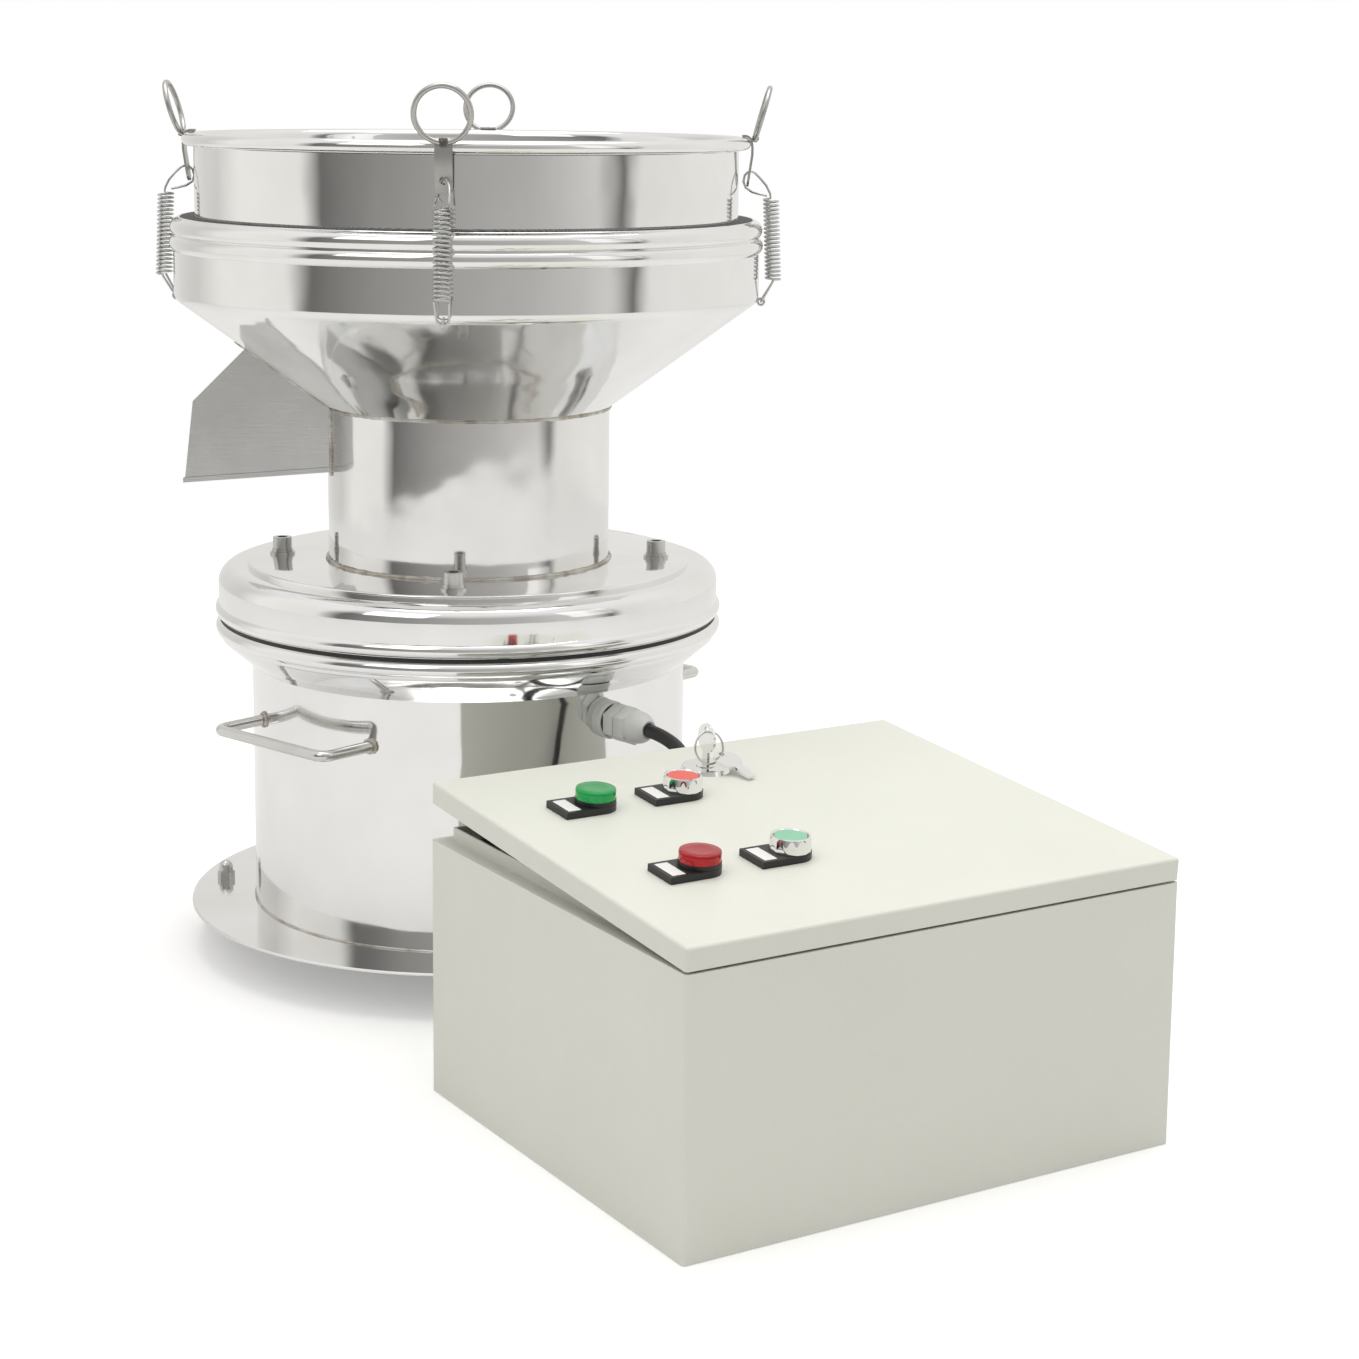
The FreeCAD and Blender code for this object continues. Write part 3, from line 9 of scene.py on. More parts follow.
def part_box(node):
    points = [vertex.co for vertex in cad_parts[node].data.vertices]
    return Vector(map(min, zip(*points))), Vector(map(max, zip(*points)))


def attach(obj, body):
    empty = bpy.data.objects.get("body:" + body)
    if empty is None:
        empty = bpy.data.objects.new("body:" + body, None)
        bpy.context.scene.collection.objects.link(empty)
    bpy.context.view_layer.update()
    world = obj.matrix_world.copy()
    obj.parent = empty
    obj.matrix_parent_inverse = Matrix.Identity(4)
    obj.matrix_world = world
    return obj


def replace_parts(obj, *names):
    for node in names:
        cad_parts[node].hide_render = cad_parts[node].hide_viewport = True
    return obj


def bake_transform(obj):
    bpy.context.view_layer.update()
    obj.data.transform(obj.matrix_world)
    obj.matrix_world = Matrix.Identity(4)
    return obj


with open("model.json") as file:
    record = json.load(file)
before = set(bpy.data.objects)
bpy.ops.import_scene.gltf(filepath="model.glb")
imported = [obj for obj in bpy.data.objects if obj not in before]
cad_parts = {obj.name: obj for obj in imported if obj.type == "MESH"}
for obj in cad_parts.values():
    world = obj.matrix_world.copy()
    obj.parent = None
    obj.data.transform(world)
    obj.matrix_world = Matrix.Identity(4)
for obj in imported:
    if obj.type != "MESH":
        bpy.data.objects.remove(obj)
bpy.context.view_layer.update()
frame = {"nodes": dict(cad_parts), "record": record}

mm = 0.001
neckLow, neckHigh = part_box("neck")
axisX = (neckLow.x + neckHigh.x) / 2
axisY = (neckLow.y + neckHigh.y) / 2
axis = Vector((axisX, axisY, 0))
joints = {joint["name"]: joint for joint in frame["record"]["behaviour"]["joints"]}
boxU = Vector(joints["lid_hinge"]["axis"]).normalized()     # along the box's hinge edge
boxV = Vector((-boxU.y, boxU.x, 0))                         # from the hinge edge to the back of the box
lidUp = -Vector(joints["red_button_press"]["axis"]).normalized()
lidV = lidUp.cross(boxU)


# camera and lamps; the eye is given from the sieve's axis
stageSizes = {"eye": (179.0, -2271.0, 731.0), "lens": 71.7, "down": 9.68, "roll": 0.63, "shift": -0.1, "floor": 2.6}


def addCamera():
    camera = bpy.data.cameras.new("camera")
    camera.lens = stageSizes["lens"]
    camera.sensor_width = 36
    camera.clip_start = 0.05
    camera.shift_y = stageSizes["shift"]
    holder = bpy.data.objects.new("camera", camera)
    bpy.context.collection.objects.link(holder)
    holder.location = axis + Vector(stageSizes["eye"]) * mm
    tilt = Matrix.Rotation(math.radians(90 - stageSizes["down"]), 3, "X")
    roll = Matrix.Rotation(math.radians(stageSizes["roll"]), 3, "Z")
    holder.rotation_euler = (tilt @ roll).to_euler()
    bpy.context.scene.camera = holder


def areaLamp(name, place, aim, size, power, tone=(1, 1, 1)):
    lamp = bpy.data.lights.new(name, "AREA")
    lamp.shape = "RECTANGLE"
    lamp.size, lamp.size_y = size
    lamp.energy = power
    lamp.color = tone
    holder = bpy.data.objects.new(name, lamp)
    bpy.context.collection.objects.link(holder)
    holder.location = place
    holder.rotation_euler = (Vector(aim) - Vector(place)).to_track_quat("-Z", "Y").to_euler()


# a node socket that Python's operators add Math nodes to
class Sock:
    def __init__(self, paint, socket):
        self.paint = paint
        self.socket = socket

    def calc(self, operation, *others, swap=False):
        values = [self, *others]
        if swap:
            values.reverse()
        node = self.paint.node("ShaderNodeMath", {"operation": operation}, dict(enumerate(values)))
        return Sock(self.paint, node.outputs[0])

    def __add__(self, other):
        return self.calc("ADD", other)

    def __radd__(self, other):
        return self.calc("ADD", other, swap=True)

    def __sub__(self, other):
        return self.calc("SUBTRACT", other)

    def __rsub__(self, other):
        return self.calc("SUBTRACT", other, swap=True)

    def __mul__(self, other):
        return self.calc("MULTIPLY", other)

    def __rmul__(self, other):
        return self.calc("MULTIPLY", other, swap=True)


# a material in the making
class Paint:
    def __init__(self, name, color, rough, metal=0.0, **fixed):
        self.material = bpy.data.materials.new(name)
        self.material.use_nodes = True
        self.tree = self.material.node_tree
        self.shader = next(n for n in self.tree.nodes if n.type == "BSDF_PRINCIPLED")
        self.set("Base Color", (*color, 1))
        self.set("Roughness", rough)
        self.set("Metallic", metal)
        for name, value in fixed.items():
            self.set(name.replace("_", " ").title().replace("Ior", "IOR"), value)
        self.material.diffuse_color = (*color, 1)
        self.coords = self.wire("ShaderNodeTexCoord", {}, {}, "Object")

    def set(self, name, value):
        socket = self.shader.inputs[name]
        if isinstance(value, Sock):
            self.tree.links.new(value.socket, socket)
        else:
            socket.default_value = value

    def node(self, kind, settings, inputs):
        made = self.tree.nodes.new(kind)
        for name, value in settings.items():
            if name == "stops":
                for element, (place, color) in zip(self.ramp(made, len(value)), value):
                    element.position = place
                    element.color = (*color, 1) if len(color) == 3 else color
            else:
                setattr(made, name, value)
        for name, value in inputs.items():
            if isinstance(value, Sock):
                self.tree.links.new(value.socket, made.inputs[name])
            else:
                made.inputs[name].default_value = value
        return made

    def ramp(self, made, count):
        elements = made.color_ramp.elements
        while len(elements) < count:
            elements.new(0.5)
        return elements

    def wire(self, kind, settings, inputs, output=0):
        return Sock(self, self.node(kind, settings, inputs).outputs[output])

    def noise(self, scale, detail=3.0, rough=0.5, stretch=None, coords=None):
        coords = coords or self.coords
        if stretch:
            coords = self.wire("ShaderNodeMapping", {}, {"Vector": coords, "Scale": stretch})
        return self.wire("ShaderNodeTexNoise", {}, {"Vector": coords, "Scale": scale, "Detail": detail,
                                                    "Roughness": rough}, "Fac")

    def fade(self, value, low, high, start=0.0, end=1.0):
        return self.wire("ShaderNodeMapRange", {"clamp": True}, {"Value": value, "From Min": low, "From Max": high,
                                                                "To Min": start, "To Max": end})

    def blendColor(self, share, first, second):
        first = first if isinstance(first, Sock) else (*first, 1)
        second = second if isinstance(second, Sock) else (*second, 1)
        return self.wire("ShaderNodeMix", {"data_type": "RGBA"}, {0: share, 6: first, 7: second}, 2)

    def bump(self, height, distance, strength=1.0, after=None):
        inputs = {"Height": height, "Distance": distance, "Strength": strength}
        if after:
            inputs["Normal"] = after
        return self.wire("ShaderNodeBump", {}, inputs, "Normal")


def mirrorSteel(name, wave=1.0, haze=0.035):
    paint = Paint(name, (0.83, 0.83, 0.825), 0.06, 1.0)
    smudge = paint.noise(9, 4, 0.6)
    fine = paint.noise(60, 5, 0.7, (1, 1, 0.15))
    paint.set("Roughness", haze + paint.fade(smudge, 0.35, 0.75, 0.0, 0.07) + fine * 0.03)
    paint.set("Base Color", paint.blendColor(paint.fade(smudge, 0.3, 0.8), (0.86, 0.86, 0.855), (0.78, 0.775, 0.76)))
    roll = paint.noise(7, 1, 0.4, (1, 1, 0.5))
    dent = paint.noise(26, 1, 0.4, (1, 1, 0.7))
    first = paint.bump(roll, 0.0045 * wave, 1.0)
    second = paint.bump(dent, 0.0006 * wave, 1.0, first)
    paint.set("Normal", second)
    return paint.material


def satinSteel(name, color=(0.66, 0.66, 0.655), rough=0.3, grain=(1, 1, 30)):
    paint = Paint(name, color, rough, 1.0)
    streak = paint.noise(40, 4, 0.6, grain)
    cloud = paint.noise(14, 3, 0.6)
    paint.set("Roughness", rough - 0.07 + streak * 0.12 + paint.fade(cloud, 0.4, 0.7, 0, 0.06))
    dull = tuple(c * 0.86 for c in color)
    paint.set("Base Color", paint.blendColor(paint.fade(cloud, 0.35, 0.7), color, dull))
    paint.set("Normal", paint.bump(streak, 0.00008))
    return paint.material


def weldSteel(name):
    paint = Paint(name, (0.6, 0.58, 0.55), 0.32, 1.0)
    heat = paint.noise(45, 3, 0.6)
    grit = paint.noise(700, 3, 0.6)
    tint = paint.wire("ShaderNodeValToRGB", {"stops": [(0.3, (0.72, 0.71, 0.69)), (0.55, (0.5, 0.46, 0.4)),
                                                       (0.7, (0.3, 0.27, 0.25)), (0.85, (0.62, 0.6, 0.57))]},
                      {"Fac": heat}, "Color")
    paint.set("Base Color", tint)
    paint.set("Roughness", 0.22 + grit * 0.22)
    paint.set("Normal", paint.bump(grit, 0.0004))
    return paint.material


def plainPaint(name, color, rough, metal=0.0, scale=300.0, depth=0.00004, shade=0.85, **fixed):
    paint = Paint(name, color, rough, metal, **fixed)
    grain = paint.noise(scale, 3, 0.6)
    cloud = paint.noise(scale / 12, 3, 0.6)
    paint.set("Base Color", paint.blendColor(paint.fade(cloud, 0.35, 0.7), color, tuple(c * shade for c in color)))
    paint.set("Roughness", rough - 0.05 + cloud * 0.1)
    paint.set("Normal", paint.bump(grain, depth))
    return paint.material


def boxPaint(name):
    paint = Paint(name, (0.72, 0.73, 0.665), 0.42)
    peel = paint.noise(520, 2, 0.5)
    coarse = paint.noise(160, 2, 0.5)
    cloud = paint.noise(5, 3, 0.6)
    scuff = paint.noise(55, 6, 0.75, (1, 1, 0.35))
    color = paint.blendColor(paint.fade(cloud, 0.3, 0.75), (0.735, 0.745, 0.68), (0.7, 0.71, 0.645))
    marks = paint.fade(scuff, 0.7, 0.78)
    paint.set("Base Color", paint.blendColor(marks * 0.35, color, (0.5, 0.5, 0.46)))
    paint.set("Roughness", 0.36 + peel * 0.12)
    paint.set("Normal", paint.bump(peel + coarse * 0.6, 0.00035, 0.55))
    return paint.material


def lensPlastic(name, color):
    paint = Paint(name, color, 0.08, transmission_weight=0.55, ior=1.45)
    cloud = paint.noise(120, 2, 0.5)
    paint.set("Base Color", paint.blendColor(cloud, color, tuple(c * 0.8 for c in color)))
    paint.set("Roughness", 0.06 + cloud * 0.06)
    return paint.material


def meshCloth(name):
    paint = Paint(name, (0.5, 0.5, 0.5), 0.35, 1.0)
    pitch = 1400
    across = paint.wire("ShaderNodeTexWave", {"bands_direction": "X"}, {"Vector": paint.coords, "Scale": pitch / 6.28})
    along = paint.wire("ShaderNodeTexWave", {"bands_direction": "Y"}, {"Vector": paint.coords, "Scale": pitch / 6.28})
    weave = across.calc("MAXIMUM", along)
    paint.set("Base Color", paint.blendColor(weave, (0.12, 0.12, 0.12), (0.62, 0.62, 0.62)))
    paint.set("Roughness", 0.25 + weave * 0.15)
    paint.set("Normal", paint.bump(weave, 0.0002))
    return paint.material


mats = {
    "mirror": mirrorSteel("polishedShell"),
    "rim": mirrorSteel("polishedRim", 0.5, 0.05),
    "satin": satinSteel("satinStainless"),
    "spring": satinSteel("springWire", (0.6, 0.6, 0.59), 0.25, (1, 1, 1)),
    "weld": weldSteel("weldBead"),
    "hook": satinSteel("hookSheet", (0.52, 0.51, 0.49), 0.3, (1, 1, 1)),
    "satinRod": satinSteel("handleRod", (0.72, 0.71, 0.69), 0.16, (1, 1, 1)),
    "scorch": plainPaint("scorchedWeld", (0.14, 0.13, 0.12), 0.4, 0.8, 500, 0.0003, 0.6),
    "motor": plainPaint("motorPaint", (0.1, 0.16, 0.2), 0.45, 0.0, 200, 0.0001),
    "plated": satinSteel("zincPlate", (0.62, 0.62, 0.6), 0.28, (1, 1, 1)),
    "chrome": mirrorSteel("chromeTrim", 0.05, 0.03),
    "rubber": plainPaint("blackRubber", (0.018, 0.018, 0.018), 0.65),
    "seal": plainPaint("darkSeal", (0.025, 0.025, 0.026), 0.55),
    "cable": plainPaint("cableJacket", (0.014, 0.014, 0.015), 0.38),
    "nylon": plainPaint("glandNylon", (0.66, 0.67, 0.65), 0.38, 0.0, 400, 0.00003, 0.92),
    "box": boxPaint("powderCoat"),
    "black": plainPaint("blackMoulding", (0.012, 0.012, 0.013), 0.42, 0.0, 500, 0.00003),
    "insert": plainPaint("whiteInsert", (0.8, 0.8, 0.78), 0.5, 0.0, 500, 0.00001, 0.95),
    "lensGreen": lensPlastic("lensGreen", (0.02, 0.62, 0.16)),
    "lensRed": lensPlastic("lensRed", (0.72, 0.02, 0.03)),
    "capRed": plainPaint("capRed", (0.78, 0.1, 0.07), 0.3, 0.0, 300, 0.00001, 0.92),
    "capGreen": plainPaint("capGreen", (0.22, 0.55, 0.36), 0.3, 0.0, 300, 0.00001, 0.92),
    "mesh": meshCloth("screenCloth"),
}

nodeFinish = {
    "satin": ["inner_deck", "discharge_spout", "spring_anchors", "isolator_shelf", "rotor_shaft"],
    "motor": ["motor_housing", "motor_shields", "eccentric_weights"],
    "plated": ["foot_nuts", "dome_bolts", "dome_washers", "dome_nuts", "box_mount_plate", "hinge_pins",
               "hinge_leaves", "lock_cam", "key_ring"],
    "chrome": ["button_bezels", "lock_escutcheon", "lock_plug", "lock_key", "spare_key"],
    "rubber": ["foot_pads", "isolators"],
    "seal": ["dust_seal", "screen_seal", "lid_gasket", "gland_seals"],
    "nylon": ["gland_bodies", "gland_caps", "gland_locknuts"],
    "box": ["box_body", "box_lid"],
    "black": ["contactor", "contact_blocks", "lamp_bases", "legend_plates"],
    "insert": ["legend_inserts"],
    "lensGreen": ["lamp_lens_green"],
    "lensRed": ["lamp_lens_red"],
    "capRed": ["button_cap_red"],
    "capGreen": ["button_cap_green"],
    "mesh": ["screen_mesh"],
    "mirror": ["barrel", "neck", "hopper_pan", "dome_cap", "dome_plate", "sieve_frame", "base_flange", "handles"],
    "cable": ["power_cable"],
    "spring": [f"clamp_{kind}_{side}" for kind in ("hook", "spring") for side in ("front", "left", "back", "right")],
}
for finish, names in nodeFinish.items():
    for name in names:
        for place in frame["nodes"][name].material_slots:
            place.material = mats[finish]
print("materials made")


def asObject(name, mesh, material, body, smooth=35):
    obj = bpy.data.objects.new(name, mesh)
    bpy.context.collection.objects.link(obj)
    if material:
        mesh.materials.clear()
        mesh.materials.append(mats[material])
    if smooth:
        for polygon in mesh.polygons:
            polygon.use_smooth = True
        mesh.set_sharp_from_angle(angle=math.radians(smooth))
    if body:
        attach(obj, body)
    return obj


def fromBmesh(name, bm, material, body, smooth=35, fixNormals=True):
    bmesh.ops.remove_doubles(bm, verts=bm.verts, dist=1e-6)
    if fixNormals:
        bmesh.ops.recalc_face_normals(bm, faces=bm.faces)
    mesh = bpy.data.meshes.new(name)
    bm.to_mesh(mesh)
    bm.free()
    return asObject(name, mesh, material, body, smooth)


def arcPoints(centre, radius, start, end, steps):
    turns = [math.radians(start + (end - start) * k / steps) for k in range(steps + 1)]
    return [(centre[0] + radius * math.cos(t), centre[1] + radius * math.sin(t)) for t in turns]


def beadPoints(radius, low, high, proud, steps=10):
    # A rolled bead: a shallow arc that stands proud of the wall.
    half = (high - low) / 2
    curve = (half * half + proud * proud) / (2 * proud)
    swing = math.degrees(math.asin(min(half / curve, 1)))
    return arcPoints((radius + proud - curve, low + half), curve, -swing, swing, steps)


def spunShell(name, outline, material, body, segments=180, replaces=(), smooth=30):
    # outline: a closed section as (radius, height) in millimetres, turned about the sieve's axis.
    bm = bmesh.new()
    verts = [bm.verts.new((axisX + r * mm, axisY, z * mm)) for r, z in outline]
    edges = [bm.edges.new((verts[i], verts[(i + 1) % len(verts)])) for i in range(len(verts))]
    bmesh.ops.spin(bm, geom=verts + edges, cent=axis, axis=(0, 0, 1), angle=math.tau, steps=segments,
                   use_merge=True)
    shell = fromBmesh(name, bm, material, body, smooth)
    if replaces:
        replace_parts(shell, *replaces)
    return shell


def curveMesh(name, points, radius, sides=3, cyclic=False, radii=None, kind="POLY"):
    curve = bpy.data.curves.new(name, "CURVE")
    curve.dimensions = "3D"
    curve.bevel_depth = radius
    curve.bevel_resolution = sides
    curve.use_fill_caps = True
    spline = curve.splines.new(kind)
    spline.points.add(len(points) - 1)
    for k, point in enumerate(points):
        spline.points[k].co = (*point, 1)
        spline.points[k].radius = radii[k] if radii else 1.0
    spline.use_cyclic_u = cyclic
    if kind == "NURBS":
        spline.order_u = 3
        spline.use_endpoint_u = not cyclic
        spline.resolution_u = 8
    holder = bpy.data.objects.new(name + "Path", curve)
    mesh = bpy.data.meshes.new_from_object(holder)
    mesh.name = name
    bpy.data.objects.remove(holder)
    bpy.data.curves.remove(curve)
    return mesh


def ring(radius, z, degrees, centre=axis):
    t = math.radians(degrees)
    return Vector((centre.x + radius * mm * math.cos(t), centre.y + radius * mm * math.sin(t), z * mm))


cableSizes = {"diameter": 0.011}
boxCorner = axis + Vector((186, -677.5, 0)) * mm    # the box's bottom corner on its hinge edge


def boxPoint(u, v, z):
    return boxCorner + boxU * (u * mm) + boxV * (v * mm) + Vector((0, 0, z * mm))


def addCable():
    glandWay = Vector((math.cos(math.radians(-48.5)), math.sin(math.radians(-48.5)), 0))
    start = axis + glandWay * 0.2245 + Vector((0, 0, 0.223))
    clear = axis + glandWay * 0.2635 + Vector((0, 0, 0.223))
    corners = [(240, 379, 203), (230, 360, 170), (208, 360, 120), (189, 391, 80), (194, 439, 56),
               (227, 481, 49), (279, 497, 54), (327, 481, 63), (355, 440, 69), (355, 391, 69)]
    points = [start, clear] + [boxPoint(*corner) for corner in corners]
    curve = bpy.data.curves.new("cable", "CURVE")
    curve.dimensions = "3D"
    curve.bevel_depth = cableSizes["diameter"] / 2
    curve.bevel_resolution = 6
    curve.use_fill_caps = True
    spline = curve.splines.new("NURBS")
    spline.points.add(len(points) - 1)
    for k, point in enumerate(points):
        spline.points[k].co = (*point, 1)
    spline.order_u = 3
    spline.use_endpoint_u = True
    spline.resolution_u = 10
    cable = bpy.data.objects.new("cable", curve)
    bpy.context.collection.objects.link(cable)
    curve.materials.append(mats["cable"])
    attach(cable, "base")
    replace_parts(cable, "power_cable")
    line = bpy.data.objects.new("line", curve.copy())
    line.data.bevel_depth = 0
    path = bpy.data.meshes.new_from_object(line)
    bpy.data.objects.remove(line)
    bpy.data.meshes.remove(path)


addCamera()
addCable()


shellSizes = {
    "wall": 2.0, "barrel": 183.5, "collar": 210.5, "flareLow": 245.0, "flareHigh": 269.0, "collarTop": 282.4,
    "cap": 211.0, "capTop": 327.5, "capLow": 286.2, "shoulder": 14.0, "plate": 186.4, "plateTop": 331.5,
    "neck": 118.5, "neckTop": 460.5, "pan": 243.0, "panCorner": 552.0, "mouth": 239.0, "mouthTop": 618.4,
    "ledge": 214.0, "ledgeTop": 615.4, "frame": 225.0, "screenTop": 619.4, "rim": 229.5, "rimZ": 681.0, "roll": 5.2,
    "flange": 237.5, "flangeLow": 37.0, "flangeTop": 40.0, "flangeBore": 150.0, "bore": 100.0,
}
sh = shellSizes


def barrelShell():
    r, w = sh["barrel"], sh["wall"]
    outer = [(r, sh["flangeTop"]), (r, 90), (r, 150), (r, sh["flareLow"] - 5), (r + 0.6, sh["flareLow"] + 0.5),
             (sh["collar"] - 1.6, sh["flareHigh"] - 1.8), (sh["collar"], sh["flareHigh"] + 1.4)]
    outer += beadPoints(sh["collar"], 270.8, 282.0, 3.2, 14)
    outer += [(sh["collar"] - 0.4, sh["collarTop"])]
    inner = [(sh["collar"] - w, sh["collarTop"]), (sh["collar"] - w, sh["flareHigh"] + 0.9),
             (r - w, sh["flareLow"] + 0.9), (r - w, sh["flangeTop"])]
    shell = spunShell("barrelShell", outer + inner, "mirror", "base", 200, ["barrel"])
    return shell


def flangeShell():
    t, b, r = sh["flangeTop"], sh["flangeLow"], sh["flange"]
    outline = [(sh["flangeBore"], b), (r - 0.8, b), (r, b + 0.8), (r, t - 0.9), (r - 0.9, t), (200, t),
               (sh["flangeBore"], t)]
    spunShell("flangeShell", outline, "rim", "base", 200, ["base_flange"])


def domeShells():
    w = sh["wall"]
    cap, top, s = sh["cap"], sh["capTop"], sh["shoulder"]
    outer = [(cap, sh["capLow"])]
    outer += beadPoints(cap, 286.5, 296.9, 2.8, 14)
    outer += [(cap, 304)] + arcPoints((cap - s, top - s), s, 0, 90, 12)
    outer += [(sh["plate"] - 4, top), (sh["bore"], top)]
    inner = [(sh["bore"], top - w)] + arcPoints((cap - s, top - s), s - w, 90, 0, 8) + [(cap - w, sh["capLow"])]
    spunShell("domeShell", outer + inner, "mirror", "vibrating", 200, ["dome_cap"])
    p, t = sh["plate"], sh["plateTop"]
    plate = [(sh["bore"], top), (p, top), (p, t - 1.6)] + arcPoints((p - 1.6, t - 1.6), 1.6, 10, 90, 4)
    plate += [(150, t), (sh["bore"], t)]
    spunShell("domeDisc", plate, "mirror", "vibrating", 200, ["dome_plate"])


def panShell():
    w, r = sh["wall"], sh["pan"]
    slope = math.atan((sh["panCorner"] - sh["neckTop"]) / (r - sh["neck"]))
    fillet = 10.0
    rise = fillet * math.tan((math.pi / 2 - slope) / 2)
    centre = (r - fillet, sh["panCorner"] + rise)
    start = math.degrees(slope) - 90
    outer = [(sh["neck"], sh["neckTop"]), (sh["neck"] + 0.4, sh["neckTop"] + 0.6)]
    outer += [(170, sh["neckTop"] + (170 - sh["neck"]) * math.tan(slope))]
    outer += arcPoints(centre, fillet, start, 0, 12)
    outer += beadPoints(r, 591.2, 603.6, 3.0, 14) + beadPoints(r, 604.2, 615.8, 2.4, 14)
    outer += [(sh["mouth"] + 0.8, sh["mouthTop"] - 0.8), (sh["mouth"], sh["mouthTop"])]
    lip = sh["mouth"] - w
    inner = [(lip + 0.6, sh["mouthTop"]), (lip, sh["mouthTop"] - 0.6), (lip, sh["ledgeTop"]),
             (sh["ledge"], sh["ledgeTop"]), (sh["ledge"], sh["ledgeTop"] - w), (r - w, sh["ledgeTop"] - w)]
    inner += arcPoints(centre, fillet - w, 0, start, 8)
    inner += [(sh["neck"] - w, sh["neckTop"] + 0.8), (sh["neck"] - w, sh["neckTop"])]
    spunShell("panShell", outer + inner, "mirror", "vibrating", 220, ["hopper_pan"])


def frameShell():
    w, r = sh["wall"], sh["frame"]
    low = sh["screenTop"]
    outer = [(sh["ledge"], low), (r - 0.6, low), (r, low + 0.6), (r, sh["rimZ"] - sh["roll"] - 0.6),
             (r + 0.6, sh["rimZ"] - sh["roll"])]
    outer += arcPoints((sh["rim"], sh["rimZ"]), sh["roll"], -90, 90, 14)
    inner = arcPoints((sh["rim"], sh["rimZ"] - 1.3), sh["roll"] + 1.3, 96, 180, 8)
    inner += [(r - w, low + w + 0.6), (r - w - 0.6, low + w), (sh["ledge"], low + w)]
    spunShell("frameShell", outer + inner, "mirror", "vibrating", 220, ["sieve_frame"])


def neckShell():
    # The neck keeps its opening toward the spout, so the window is cut out of the turned tube.
    sizes = {"half": 40.0, "sill": 412.0, "head": 456.4}
    r, w = sh["neck"], sh["wall"]
    outline = [(r, sh["plateTop"]), (r, sizes["sill"]), (r, sizes["head"]), (r, sh["neckTop"]),
               (r - w, sh["neckTop"]), (r - w, sizes["head"]), (r - w, sizes["sill"]), (r - w, sh["plateTop"])]
    bm = bmesh.new()
    verts = [bm.verts.new((axisX + x * mm, axisY, z * mm)) for x, z in outline]
    edges = [bm.edges.new((verts[i], verts[(i + 1) % len(verts)])) for i in range(len(verts))]
    bmesh.ops.spin(bm, geom=verts + edges, cent=axis, axis=(0, 0, 1), angle=math.tau, steps=180, use_merge=True)
    for side in (-1, 1):
        bmesh.ops.bisect_plane(bm, geom=bm.verts[:] + bm.edges[:] + bm.faces[:], dist=1e-7,
                               plane_co=(axisX, axisY + side * sizes["half"] * mm, 0), plane_no=(0, 1, 0))
    window = []
    for face in bm.faces:
        middle = face.calc_center_median()
        if (middle.x < axisX - 0.05 and abs(middle.y - axisY) < sizes["half"] * mm - 1e-5
                and sizes["sill"] * mm < middle.z < sizes["head"] * mm and abs(face.normal.z) < 0.5):
            window.append(face)
    bmesh.ops.delete(bm, geom=window, context="FACES")
    openEdges = [edge for edge in bm.edges if edge.is_boundary]
    bmesh.ops.bridge_loops(bm, edges=openEdges)
    shell = fromBmesh("neckTube", bm, "mirror", "vibrating", 30)
    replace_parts(shell, "neck")


barrelShell()
flangeShell()
domeShells()
panShell()
frameShell()
neckShell()
print("shells turned")


def weldBead(name, points, radius, cyclic, body, pitch=0.0022, lumps=0.28):
    # A run of small overlapping lumps along a path.
    path = []
    count = len(points) if cyclic else len(points) - 1
    for k in range(count):
        first, last = points[k], points[(k + 1) % len(points)]
        steps = max(1, round((last - first).length / (pitch / 3)))
        path += [first.lerp(last, step / steps) for step in range(steps)]
    if not cyclic:
        path.append(points[-1])
    radii = []
    places = []
    travelled = 0.0
    for k, point in enumerate(path):
        travelled += (point - path[k - 1]).length if k else 0.0
        wave = math.cos(travelled / pitch * math.tau)
        rough = noise.noise(point * 260) * 0.5 + noise.noise(point * 900) * 0.25
        radii.append(1 + lumps * (0.35 * wave + rough))
        wander = Vector((noise.noise(point * 130), noise.noise(point * 130 + Vector((9, 0, 0))),
                         noise.noise(point * 130 + Vector((0, 9, 0)))))
        places.append(point + wander * radius * 0.35)
    mesh = curveMesh(name, places, radius, 2, cyclic, radii)
    return asObject(name, mesh, "weld", body, 60)


def ringPath(radius, z, steps=240):
    return [ring(radius, z, 360 * k / steps) for k in range(steps)]


weldBead("weldNeckFoot", ringPath(sh["neck"] + 0.6, sh["plateTop"] + 0.4), 0.0017, True, "vibrating")
weldBead("weldNeckHead", ringPath(sh["neck"] + 0.5, sh["neckTop"]), 0.0014, True, "vibrating")
weldBead("weldFlange", ringPath(sh["barrel"] + 0.3, sh["flangeTop"] + 0.3), 0.0009, True, "base", 0.003, 0.15)
print("welds laid")


def turnedShape(bm, outline, steps=48, shift=(0, 0, 0)):
    # outline: (radius, height) in millimetres about the local Z axis, open where it meets the axis
    verts = [bm.verts.new(Vector(shift) + Vector((r, 0, z))) for r, z in outline]
    edges = [bm.edges.new(pair) for pair in zip(verts, verts[1:])]
    if outline[0][0] > 0.01:
        edges.append(bm.edges.new((verts[-1], verts[0])))
    bmesh.ops.spin(bm, geom=verts + edges, cent=shift, axis=(0, 0, 1), angle=math.tau, steps=steps, use_merge=True)
    bmesh.ops.remove_doubles(bm, verts=bm.verts, dist=1e-4)


